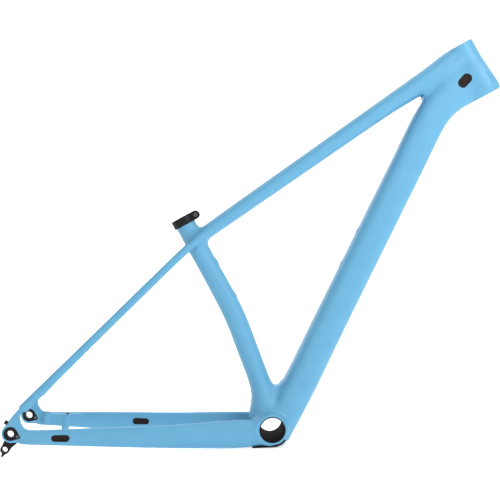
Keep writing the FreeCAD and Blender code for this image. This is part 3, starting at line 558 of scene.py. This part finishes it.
def mesh_object(name, points, faces):
    """Object from points in mm and faces."""
    mesh = bpy.data.meshes.new(name)
    mesh.from_pydata((points * MM).tolist(), [], faces)
    mesh.update()
    thing = bpy.data.objects.new(name, mesh)
    bpy.context.scene.collection.objects.link(thing)
    return thing


skin_points, skin_faces = skin_mesh()
skin = mesh_object("skin", skin_points, skin_faces.tolist())


# ------------------------------------------------------------------ cutters and members
def outline_prism(name, outline, y0, y1):
    """Closed straight-sided block over an outline in X and Z."""
    count = len(outline)
    area = sum(a[0] * b[1] - b[0] * a[1] for a, b in zip(outline, outline[1:] + outline[:1]))
    ring = list(outline) if area > 0 else list(outline)[::-1]
    points = [(x, y1, z) for x, z in ring] + [(x, y0, z) for x, z in ring]
    faces = [list(range(count))[::-1], list(range(count, 2 * count))]
    for k in range(count):
        following = (k + 1) % count
        faces.append([k, following, count + following, count + k])
    return mesh_object(name, np.array(points, float), faces)


def lathe(name, profile, base, axis, segments=96):
    """Closed solid of revolution. profile is (height, radius) pairs from bottom to top."""
    axis = np.array(axis, float) / np.linalg.norm(axis)
    helper = np.array([0.0, 1.0, 0.0]) if abs(axis[1]) < 0.9 else np.array([1.0, 0.0, 0.0])
    first = np.cross(axis, helper)
    first /= np.linalg.norm(first)
    second = np.cross(axis, first)
    angles = np.arange(segments) * 2 * math.pi / segments
    ring = np.cos(angles)[:, None] * first + np.sin(angles)[:, None] * second
    points = np.concatenate([np.array(base) + axis * h + ring * r for h, r in profile])
    faces = [list(range(segments))[::-1]]
    for row in range(len(profile) - 1):
        start = row * segments
        for k in range(segments):
            following = (k + 1) % segments
            faces.append([start + k, start + following, start + segments + following, start + segments + k])
    faces.append(list(range((len(profile) - 1) * segments, len(profile) * segments)))
    return mesh_object(name, points, faces)


def capsule_outline(centre, slope, length, height, grow=0.0, segments=14):
    """Points round a slot-shaped outline in X and Z."""
    angle = math.radians(slope)
    reach = (length - height) / 2
    radius = height / 2 + grow
    points = []
    for end, sign in ((0, 1), (1, -1)):
        for k in range(segments + 1):
            turn = angle - math.pi / 2 + math.pi * k / segments + math.pi * end
            points.append((centre[0] + sign * reach * math.cos(angle) + radius * math.cos(turn),
                           centre[1] + sign * reach * math.sin(angle) + radius * math.sin(turn)))
    return points


def xyz(point, y=0.0):
    return np.array([point[0], y, point[1]])


def evaluated(thing):
    """The object's mesh with its modifiers applied."""
    graph = bpy.context.evaluated_depsgraph_get()
    return bpy.data.meshes.new_from_object(thing.evaluated_get(graph))


def boolean(thing, cutter, operation="DIFFERENCE"):
    """Apply a cutter to the object and remove it."""
    modifier = thing.modifiers.new("cut", "BOOLEAN")
    modifier.operation = operation
    modifier.object = cutter
    modifier.solver = "MANIFOLD"
    mesh = evaluated(thing)
    thing.modifiers.clear()
    thing.data = mesh
    bpy.data.objects.remove(cutter)


def copy_of(thing, name):
    result = bpy.data.objects.new(name, thing.data)
    bpy.context.scene.collection.objects.link(result)
    return result


# Corners, in X and Z, of the planes that divide the skin.
HEAD_PLANE_REAR = tuple(HEAD_TOP - HEAD_FORE * 58.0)
HEAD_PLANE_FRONT = tuple(HEAD_TOP + HEAD_FORE * 45.0)
FOOT_PLANE_FRONT = tuple(HEAD_BASE + HEAD_FORE * 45.0)
FOOT_PLANE_REAR = (409.0, 512.03)
CROTCH = (332.0, 538.0)
HEAD_LOW = (392.0, 485.0)
SEAT_PLANE_REAR = tuple(SEAT_TOP - SEAT_FORE * 30.0)
SEAT_PLANE_FRONT = tuple(SEAT_TOP + SEAT_FORE * 30.0)
SEAT_JOINT = [(-75.0, 375.0), (-72.0, 340.0), (-60.0, 320.0)]       # between top tube and seat tube
SEAT_TUBE_FRONT = (-8.0, 190.0)
SHELL_TOP = (18.0, 94.0)
SHELL_FRONT = (100.0, 38.0)
SHELL_REAR = (-46.0, 62.0)
SHELL_LOW_FRONT = (100.0, -60.0)
SHELL_LOW_REAR = (-45.0, -60.0)
STAY_ROOT = (-96.0, 279.0)
STAY_ROOT_TOP = (-125.0, 353.0)
DROPOUT_LOW = (-396.0, -60.0)
DROPOUT_NOTCH = (-384.0, 72.0)
DROPOUT_HIGH = (-373.0, 105.0)
DROPOUT_TOP = (-394.0, 131.0)
DROPOUT_BEHIND = [(-500.0, 131.0), (-500.0, -60.0)]
ABOVE_STAYS = [(-480.0, 420.0), (-135.0, 420.0)]
ABOVE_TOP_TUBE = [(349.0, 660.0), (-75.0, 660.0)]
BELOW_DOWN_TUBE = (480.0, 300.0)
ALL_Y = (-120.0, 120.0)
MEMBERS = {
    "head_tube": ([HEAD_PLANE_REAR, CROTCH, HEAD_LOW, FOOT_PLANE_REAR, FOOT_PLANE_FRONT,
                   HEAD_PLANE_FRONT], ALL_Y),
    "top_tube": ([*SEAT_JOINT, CROTCH, HEAD_PLANE_REAR, *ABOVE_TOP_TUBE], ALL_Y),
    "down_tube": ([SHELL_TOP, SHELL_FRONT, BELOW_DOWN_TUBE, HEAD_LOW, CROTCH], ALL_Y),
    "seat_tube": ([SHELL_TOP, SHELL_REAR, STAY_ROOT, STAY_ROOT_TOP, SEAT_PLANE_REAR, SEAT_PLANE_FRONT,
                   *SEAT_JOINT, SEAT_TUBE_FRONT], ALL_Y),
    "bottom_bracket_shell": ([SHELL_TOP, SHELL_FRONT, SHELL_LOW_FRONT, SHELL_LOW_REAR, SHELL_REAR], ALL_Y),
}
for word, half in (("right", (ALL_Y[0], 0.0)), ("left", (0.0, ALL_Y[1]))):
    MEMBERS[word + "_chainstay"] = ([SHELL_LOW_REAR, SHELL_REAR, DROPOUT_NOTCH, DROPOUT_LOW], half)
    MEMBERS[word + "_seatstay"] = ([STAY_ROOT_TOP, STAY_ROOT, SHELL_REAR, DROPOUT_NOTCH, DROPOUT_HIGH,
                                    DROPOUT_TOP, *ABOVE_STAYS], half)
    MEMBERS[word + "_dropout"] = ([DROPOUT_NOTCH, DROPOUT_HIGH, DROPOUT_TOP, *DROPOUT_BEHIND,
                                   DROPOUT_LOW], half)

# Cable ports: centre (X, Z), slope in degrees, length, height, and distance of the painted face from Y = 0.
HEAD_PORT = ((402.3, 551.6), 41.0, 27.5, 17.0, 25.4)
RIGHT_STAY_PORT = ((-351.5, 39.5), -8.0, 30.0, 11.0, 80.9)
LEFT_STAY_PORT = ((-230.0, 24.5), -8.0, 29.4, 11.0, 56.2)
PORT_CUT = (6.0, 3.4)           # from outside the face to inside it
PORT_GROW = -0.05
PORTS = {                       # shape, side of the frame, 1 if the port faces outward, members it cuts
    "right_head_port": (HEAD_PORT, -1, 1, ("head_tube", "down_tube")),
    "left_head_port": (HEAD_PORT, 1, 1, ("head_tube", "down_tube")),
    "right_chainstay_port": (RIGHT_STAY_PORT, -1, 1, ("right_chainstay",)),
    "left_chainstay_port": (LEFT_STAY_PORT, 1, -1, ("left_chainstay",)),
}


def bore(name, start, end, radius):
    """Round cutter that runs a little past both ends."""
    start = np.array(start, float)
    end = np.array(end, float)
    length = np.linalg.norm(end - start)
    return lathe(name, [(-2.0, radius), (length + 2.0, radius)], start, end - start)


def shell_bore():
    """Bore for the sleeve, with a small chamfer at both faces."""
    mouth = SLEEVE_R + 0.6
    profile = [(-12.0, mouth), (0.0, mouth), (0.6, SLEEVE_R), (2 * HALF_BB - 0.6, SLEEVE_R),
               (2 * HALF_BB, mouth), (2 * HALF_BB + 12.0, mouth)]
    return lathe("bore", profile, (0, -HALF_BB, 0), (0, 1, 0))


def relief_slot():
    """Slot at the rear of the seat tube's top, and the round hole at its end."""
    near = SEAT_TOP - SEAT_FORE * SLOT_REACH[0]
    far = SEAT_TOP - SEAT_FORE * SLOT_REACH[1]
    above = SEAT_UP * 2
    below = SEAT_UP * SLOT_DEPTH
    corners = [near + above, near - below, far - below, far + above]
    slot = outline_prism("slot", [tuple(corner) for corner in corners], -SLOT_HALF_WIDTH, SLOT_HALF_WIDTH)
    profile = [(distance, SLOT_END_R) for distance in SLOT_REACH]
    end = lathe("slot_end", profile, xyz(SEAT_TOP - below), xyz(-SEAT_FORE), 32)
    return [slot, end]


def port_cutter(name, spec, side, facing):
    centre, slope, length, height, face_y = spec
    outer = side * (face_y + facing * PORT_CUT[0])
    inner = side * (face_y - facing * PORT_CUT[1])
    outline = capsule_outline(centre, slope, length, height, PORT_GROW)
    return outline_prism(name, outline, min(outer, inner), max(outer, inner))


def cutters_for(member):
    """Everything removed from one member."""
    found = []
    if member == "head_tube":
        found.append(lathe("bore", HEAD_BORE_PROFILE, xyz(HEAD_BASE), xyz(HEAD_UP)))
    if member in ("seat_tube", "top_tube"):
        top = xyz(SEAT_TOP)
        found.append(bore("bore", top - xyz(SEAT_UP) * SEAT_BORE_DEPTH, top, POST_R))
    if member == "seat_tube":
        found += relief_slot()
    if member == "bottom_bracket_shell":
        found.append(shell_bore())
    for name, (spec, side, facing, members) in PORTS.items():
        if member in members:
            found.append(port_cutter(name, spec, side, facing))
    if member.endswith("dropout"):
        side = -1 if member.startswith("right") else 1
        found.append(bore("axle", xyz(AXLE, side * 60.0), xyz(AXLE, side * 100.0), AXLE_HOLE_R))
    if member == "right_dropout":
        along = np.array([math.cos(CABLE_HOLE_ANGLE), 0.0, math.sin(CABLE_HOLE_ANGLE)])
        found.append(bore("cable", CABLE_HOLE_AT - along * 5.0, CABLE_HOLE_AT + along * 6.0, CABLE_HOLE_R))
    if member in ("left_chainstay", "left_dropout"):
        for top in (BRAKE_FRONT, BRAKE_FRONT + BRAKE_BACK * BRAKE_SPACING):
            found.append(bore("brake", top - BRAKE_UP * 34.0, top + BRAKE_UP * 4.0, BRAKE_HOLE_R))
    if member in CAGES:
        centre, angle, facing = CAGES[member]
        mouth_r = BOSS_HOLE_R + 0.8
        profile = [(-0.4, BOSS_HOLE_R), (0.8, BOSS_HOLE_R), (1.6, mouth_r), (4.0, mouth_r)]
        for point in cage_points(centre, angle):
            found.append(lathe("cage", profile, xyz(point), xyz(direction(facing)), 40))
    return found


SMOOTH_FACING = 0.55            # cosine between an outer face and the field's own normal
SMOOTH_DEPTH = -0.7             # outer faces lie no deeper than this
SHARP_ANGLE = math.radians(32)


def set_normals(thing):
    """Outer faces take the field's own normals, so the members meet with no visible seam. Cut faces get
    the second material."""
    mesh = thing.data
    count = len(mesh.vertices)
    points = np.empty(count * 3)
    mesh.vertices.foreach_get("co", points)
    points = points.reshape(-1, 3) / MM
    slopes = gradient(points)
    slopes /= np.maximum(np.linalg.norm(slopes, axis=1), 1e-6)[:, None]
    depth = sample(points)
    corners = np.empty(len(mesh.loops), np.int32)
    mesh.loops.foreach_get("vertex_index", corners)
    starts = np.empty(len(mesh.polygons), np.int32)
    mesh.polygons.foreach_get("loop_start", starts)
    totals = np.empty(len(mesh.polygons), np.int32)
    mesh.polygons.foreach_get("loop_total", totals)
    flat = np.empty(len(mesh.polygons) * 3)
    mesh.polygons.foreach_get("normal", flat)
    flat = flat.reshape(-1, 3)
    owner = np.repeat(np.arange(len(totals)), totals)
    agree = np.sum(flat[owner] * slopes[corners], axis=1)
    worst = np.full(len(totals), 1.0)
    np.minimum.at(worst, owner, agree)
    deepest = np.zeros(len(totals))
    np.minimum.at(deepest, owner, depth[corners])
    outer = (worst > SMOOTH_FACING) & (deepest > SMOOTH_DEPTH)
    mesh.polygons.foreach_set("use_smooth", np.ones(len(totals), bool))
    mesh.set_sharp_from_angle(angle=SHARP_ANGLE)
    normals = np.empty(len(corners) * 3)
    mesh.corner_normals.foreach_get("vector", normals)
    normals = normals.reshape(-1, 3)
    normals[outer[owner]] = slopes[corners][outer[owner]]
    mesh.normals_split_custom_set(normals.tolist())
    mesh.polygons.foreach_set("material_index", (~outer).astype(np.int32))
    mesh.update()


# ------------------------------------------------------------------ materials
def base_material(name, colour, roughness, metallic=0.0, specular=0.5):
    """New material with its node tree and its shader."""
    material = bpy.data.materials.new(name)
    material.use_nodes = True
    tree = material.node_tree
    shader = tree.nodes["Principled BSDF"]
    shader.inputs["Base Color"].default_value = (*colour, 1.0)
    shader.inputs["Roughness"].default_value = roughness
    shader.inputs["Metallic"].default_value = metallic
    shader.inputs["Specular IOR Level"].default_value = specular
    return material, tree, shader


def noise(tree, scale, detail=3.0, roughness=0.5):
    """Noise over the object's own coordinates."""
    place = tree.nodes.get("Place") or tree.nodes.new("ShaderNodeTexCoord")
    place.name = "Place"
    texture = tree.nodes.new("ShaderNodeTexNoise")
    texture.inputs["Scale"].default_value = scale
    texture.inputs["Detail"].default_value = detail
    texture.inputs["Roughness"].default_value = roughness
    tree.links.new(place.outputs["Object"], texture.inputs["Vector"])
    return texture.outputs["Fac"]


def ramp(tree, source, low, high, start=0.3, end=0.7):
    """Colour between low and high."""
    node = tree.nodes.new("ShaderNodeValToRGB")
    node.color_ramp.elements[0].position = start
    node.color_ramp.elements[0].color = (*low, 1.0)
    node.color_ramp.elements[1].position = end
    node.color_ramp.elements[1].color = (*high, 1.0)
    tree.links.new(source, node.inputs["Fac"])
    return node.outputs["Color"]


def level(tree, source, low, high):
    """Value between low and high."""
    node = tree.nodes.new("ShaderNodeMapRange")
    node.inputs["To Min"].default_value = low
    node.inputs["To Max"].default_value = high
    tree.links.new(source, node.inputs["Value"])
    return node.outputs["Result"]


def bump(tree, shader, source, strength, distance, under=None):
    node = tree.nodes.new("ShaderNodeBump")
    node.inputs["Strength"].default_value = strength
    node.inputs["Distance"].default_value = distance
    tree.links.new(source, node.inputs["Height"])
    if under:
        tree.links.new(under, node.inputs["Normal"])
    tree.links.new(node.outputs["Normal"], shader.inputs["Normal"])
    return node.outputs["Normal"]


def satin_paint():
    """Satin paint: faint mottling, a fine sprayed texture and slow waviness of the laminate below."""
    material, tree, shader = base_material("satin_blue_paint", (0.104, 0.325, 0.508), 0.46)
    colour = ramp(tree, noise(tree, 34.0, 4.0), (0.100, 0.316, 0.497), (0.108, 0.334, 0.519))
    tree.links.new(colour, shader.inputs["Base Color"])
    tree.links.new(level(tree, noise(tree, 420.0, 2.0), 0.41, 0.53), shader.inputs["Roughness"])
    wave = bump(tree, shader, noise(tree, 26.0, 2.0), 0.08, 0.0006)
    bump(tree, shader, noise(tree, 1500.0, 2.0), 0.04, 0.00006, wave)
    shader.inputs["Specular IOR Level"].default_value = 0.35
    shader.inputs["Coat Weight"].default_value = 0.05
    shader.inputs["Coat Roughness"].default_value = 0.35
    return material


def bare_carbon():
    """Dark twill laminate seen inside the bores and at unpainted faces."""
    material, tree, shader = base_material("bare_carbon", (0.018, 0.017, 0.017), 0.42)
    place = tree.nodes.new("ShaderNodeTexCoord")
    bands = []
    for axis, turn in (("X", 0.785), ("Z", -0.785)):       # the two directions of the twill
        rotate = tree.nodes.new("ShaderNodeMapping")
        rotate.inputs["Rotation"].default_value = (0.0, turn, 0.0)
        tree.links.new(place.outputs["Object"], rotate.inputs["Vector"])
        wave = tree.nodes.new("ShaderNodeTexWave")
        wave.bands_direction = axis
        wave.inputs["Scale"].default_value = 95.0
        tree.links.new(rotate.outputs["Vector"], wave.inputs["Vector"])
        bands.append(wave.outputs["Fac"])
    mix = tree.nodes.new("ShaderNodeMath")
    mix.operation = "MULTIPLY"
    tree.links.new(bands[0], mix.inputs[0])
    tree.links.new(bands[1], mix.inputs[1])
    tree.links.new(ramp(tree, mix.outputs["Value"], (0.011, 0.010, 0.010), (0.034, 0.032, 0.031), 0.1, 0.6),
                   shader.inputs["Base Color"])
    tree.links.new(level(tree, noise(tree, 300.0), 0.32, 0.55), shader.inputs["Roughness"])
    bump(tree, shader, mix.outputs["Value"], 0.25, 0.00015)
    return material


def metal(name, dark, light, rough_low, rough_high, metallic=1.0, specular=0.5):
    """Finely blasted metal, bare or coated."""
    material, tree, shader = base_material(name, light, rough_high, metallic, specular)
    tree.links.new(ramp(tree, noise(tree, 160.0), dark, light), shader.inputs["Base Color"])
    tree.links.new(level(tree, noise(tree, 900.0, 4.0), rough_low, rough_high), shader.inputs["Roughness"])
    bump(tree, shader, noise(tree, 2200.0, 2.0), 0.16, 0.00004)
    return material


def moulded(name, dark, light, rough_low, rough_high, texture_scale, texture_depth):
    """Moulded plastic or rubber with a grained skin."""
    material, tree, shader = base_material(name, light, rough_high, 0.0, 0.13)
    tree.links.new(ramp(tree, noise(tree, 120.0), dark, light), shader.inputs["Base Color"])
    tree.links.new(level(tree, noise(tree, 700.0), rough_low, rough_high), shader.inputs["Roughness"])
    cells = tree.nodes.new("ShaderNodeTexVoronoi")
    cells.inputs["Scale"].default_value = texture_scale
    place = tree.nodes["Place"]
    tree.links.new(place.outputs["Object"], cells.inputs["Vector"])
    bump(tree, shader, cells.outputs["Distance"], 0.35, texture_depth)
    return material


PAINT = satin_paint()
CARBON = bare_carbon()
ANODISED = metal("black_anodised_alloy", (0.004, 0.004, 0.0045), (0.009, 0.009, 0.010), 0.38, 0.52,
                 metallic=0.0, specular=0.16)
# Black like the anodised fittings but with almost no sheen, for the sleeve in the bottom bracket. The black
# is the sleeve's own colour; the missing sheen is painted shade inside the bore.
BORE_BLACK_WITH_PAINTED_SHADE = metal("dull_bore_black_painted_shade", (0.004, 0.003, 0.003), (0.008, 0.0055, 0.0055), 0.70, 0.85,
                     metallic=0.0, specular=0.04)
BLACK_STEEL = metal("black_oxide_steel", (0.070, 0.070, 0.074), (0.120, 0.120, 0.126), 0.26, 0.42)
ALLOY = metal("plain_alloy", (0.42, 0.42, 0.43), (0.60, 0.60, 0.61), 0.24, 0.40)
PLASTIC = moulded("moulded_black_plastic", (0.007, 0.007, 0.008), (0.013, 0.013, 0.014), 0.42, 0.58,
                  texture_scale=1400.0, texture_depth=0.00008)
RUBBER = moulded("dark_rubber", (0.012, 0.006, 0.0055), (0.022, 0.011, 0.010), 0.55, 0.72,
                 texture_scale=900.0, texture_depth=0.00005)
SLOT_MATERIALS = {
    "frame_paint": PAINT,
    "black_anodised": ANODISED,
    "black_plastic": PLASTIC,
    "port_rubber": RUBBER,
    "black_steel": BLACK_STEEL,
    "insert_alloy": ALLOY,
}

# ------------------------------------------------------------------ painted members
for member, (outline, (y0, y1)) in MEMBERS.items():
    piece = copy_of(skin, member + "_skin")
    boolean(piece, outline_prism("region", outline, y0, y1), "INTERSECT")
    for cutter in cutters_for(member):
        boolean(piece, cutter)
    piece.data.name = piece.name
    piece.data.materials.clear()
    piece.data.materials.append(PAINT)
    piece.data.materials.append(CARBON)
    set_normals(piece)
    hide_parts(member)
    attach(piece, "frame")
bpy.data.objects.remove(skin)

# ------------------------------------------------------------------ carried-over CAD pieces
slot_of = {part["node"]: part["material_slot"] for part in frame["record"]["subparts"]}
for name, node in NODES.items():
    if not node.hide_render:
        # The sleeve takes the dull copy of the black anodised finish: painted shade inside the bore.
        finish = BORE_BLACK_WITH_PAINTED_SHADE if name == "bottom_bracket_sleeve" else SLOT_MATERIALS[slot_of[name]]
        node.data.materials.clear()
        node.data.materials.append(finish)

EDGE_WIDTHS = {                 # rounding of the edges of the larger fittings
    "seat_clamp_collar": 0.7,
    "seat_clamp_bolt": 0.3,
    "bottom_bracket_cover": 0.6,
    "derailleur_hanger": 0.5,
    "axle_nut_plate": 0.5,
    "left_axle_insert": 0.4,
    "rear_cable_plug": 0.4,
    "upper_bearing_seat": 0.4,
    "lower_bearing_seat": 0.4,
    "right_head_port_rim": 0.35,
    "left_head_port_rim": 0.35,
    "right_chainstay_port_rim": 0.35,
    "left_chainstay_port_rim": 0.35,
}
for name, width in EDGE_WIDTHS.items():
    weld = NODES[name].modifiers.new("weld", "WELD")
    weld.merge_threshold = 0.000005
    bevel = NODES[name].modifiers.new("bevel", "BEVEL")
    bevel.limit_method = "ANGLE"
    bevel.angle_limit = math.radians(40)
    bevel.width = width * MM
    bevel.segments = 3
    bevel.use_clamp_overlap = False
    bevel.harden_normals = True

# ------------------------------------------------------------------ floor, light and camera
ATTITUDE = math.radians(7.662)      # the frame rests with its chainstays level
FLOOR_UNDER_COVER = -31.2           # the floor carries the cover under the bottom bracket
FLOOR_SLOPE = 0.0186                # and the tip of the hanger, which is a little lower
FLOOR_NEAR = -6.0                   # sizes of the floor and its sweep, in metres
FLOOR_HALF_WIDTH = 8.0
SWEEP_START = 1.4
SWEEP_R = 1.2
SWEEP_STEPS = 12
WALL_TOP = 5.5
FLOOR_GLOW = 0.40
SKY_STRENGTH = 0.42
LIGHTS = [                          # name, place, target, size, power
    ("key", (1.3, -1.35, 1.15), (0.2, 0.0, 0.4), (1.2, 0.9), 29.0),
    ("fill", (-0.9, -2.0, 1.0), (-0.2, 0.0, 0.15), (1.4, 1.2), 7.0),
    ("top", (0.0, 0.5, 2.6), (0.0, 0.1, 0.0), (2.6, 1.6), 6.0),
    ("backdrop", (0.0, 1.0, 2.6), (0.0, 2.4, 0.9), (4.0, 0.8), 60.0),
]


def tilted(right, up):
    """Direction or point given level with the floor, turned into the frame's own axes."""
    c = math.cos(ATTITUDE)
    s = math.sin(ATTITUDE)
    return right * c + up * s, -right * s + up * c


def floor_paper():
    """Pale matt paper that glows a little. Its underside is clear, so it hides nothing from below."""
    material, tree, shader = base_material("floor_paper", (0.90, 0.905, 0.91), 0.8)
    tree.links.new(ramp(tree, noise(tree, 3.0), (0.895, 0.90, 0.905), (0.905, 0.91, 0.915)),
                   shader.inputs["Base Color"])
    shader.inputs["Emission Color"].default_value = (1.0, 1.0, 1.0, 1.0)
    shader.inputs["Emission Strength"].default_value = FLOOR_GLOW
    clear = tree.nodes.new("ShaderNodeBsdfTransparent")
    side_of = tree.nodes.new("ShaderNodeNewGeometry")
    choice = tree.nodes.new("ShaderNodeMixShader")
    tree.links.new(side_of.outputs["Backfacing"], choice.inputs["Fac"])
    tree.links.new(shader.outputs["BSDF"], choice.inputs[1])
    tree.links.new(clear.outputs["BSDF"], choice.inputs[2])
    tree.links.new(choice.outputs["Shader"], tree.nodes["Material Output"].inputs["Surface"])
    return material


def floor_plane():
    """Large plain floor under the hanger and the cover, curving up into a backdrop far behind."""
    profile = [(FLOOR_NEAR, 0.0), (SWEEP_START, 0.0)]
    for k in range(1, SWEEP_STEPS + 1):
        angle = math.pi / 2 * k / SWEEP_STEPS
        profile.append((SWEEP_START + SWEEP_R * math.sin(angle), SWEEP_R - SWEEP_R * math.cos(angle)))
    profile.append((SWEEP_START + SWEEP_R, WALL_TOP))
    points = []
    for y, height in profile:
        for right in (-FLOOR_HALF_WIDTH, FLOOR_HALF_WIDTH):
            x, z = tilted(right, FLOOR_UNDER_COVER * MM + FLOOR_SLOPE * right + height)
            points.append((x, y, z))
    faces = [[2 * k, 2 * k + 1, 2 * k + 3, 2 * k + 2] for k in range(len(profile) - 1)]
    plane = mesh_object("floor", np.array(points) / MM, faces)
    plane.data.materials.append(floor_paper())
    for polygon in plane.data.polygons:
        polygon.use_smooth = True


def area_light(name, place, target, size, power):
    light = bpy.data.lights.new(name, "AREA")
    light.shape = "RECTANGLE"
    light.size = size[0]
    light.size_y = size[1]
    light.energy = power
    thing = bpy.data.objects.new(name, light)
    bpy.context.scene.collection.objects.link(thing)
    thing.location = place
    thing.rotation_euler = (Vector(target) - Vector(place)).to_track_quat("-Z", "Y").to_euler()


def studio_world():
    """Soft light from all round. The camera sees it as a pale wall beyond the floor."""
    world = bpy.data.worlds.new("studio")
    world.use_nodes = True
    tree = world.node_tree
    light = tree.nodes["Background"]
    light.inputs["Color"].default_value = (1.0, 1.0, 1.0, 1.0)
    light.inputs["Strength"].default_value = SKY_STRENGTH
    wall = tree.nodes.new("ShaderNodeBackground")
    wall.inputs["Color"].default_value = (0.92, 0.925, 0.93, 1.0)
    path = tree.nodes.new("ShaderNodeLightPath")
    choice = tree.nodes.new("ShaderNodeMixShader")
    tree.links.new(path.outputs["Is Camera Ray"], choice.inputs["Fac"])
    tree.links.new(light.outputs["Background"], choice.inputs[1])
    tree.links.new(wall.outputs["Background"], choice.inputs[2])
    tree.links.new(choice.outputs["Shader"], tree.nodes["World Output"].inputs["Surface"])
    bpy.context.scene.world = world


floor_plane()
for light in LIGHTS:
    area_light(*light)
studio_world()
bpy.context.scene.view_settings.view_transform = "Standard"

CAMERA_AT = (-95.934, -1685.21, 349.944)       # level with the floor, in mm
YAW = 0.033006                                 # turns in radians
PITCH = -0.026610
ROLL = 0.010696
LENS = 69.83208
SENSOR = 36.0


def add_camera():
    """The photograph's viewing angle, almost square on the right side."""
    ahead = np.array([math.sin(YAW) * math.cos(PITCH), math.cos(YAW) * math.cos(PITCH), math.sin(PITCH)])
    right = np.array([math.cos(YAW), -math.sin(YAW), 0.0])
    up = np.cross(right, ahead)
    rolled_right = math.cos(ROLL) * right + math.sin(ROLL) * up
    rolled_up = math.cos(ROLL) * up - math.sin(ROLL) * right
    columns = []
    for axis in (rolled_right, rolled_up, -ahead):
        x, z = tilted(axis[0], axis[2])
        columns.append((x, axis[1], z))
    x, z = tilted(CAMERA_AT[0], CAMERA_AT[2])
    data = bpy.data.cameras.new("camera")
    data.sensor_width = SENSOR
    data.lens = LENS
    data.clip_start = 0.05
    thing = bpy.data.objects.new("camera", data)
    bpy.context.scene.collection.objects.link(thing)
    pose = Matrix(columns).transposed().to_4x4()
    pose.translation = Vector((x, CAMERA_AT[1], z)) * MM
    thing.matrix_world = pose
    bpy.context.scene.camera = thing


add_camera()
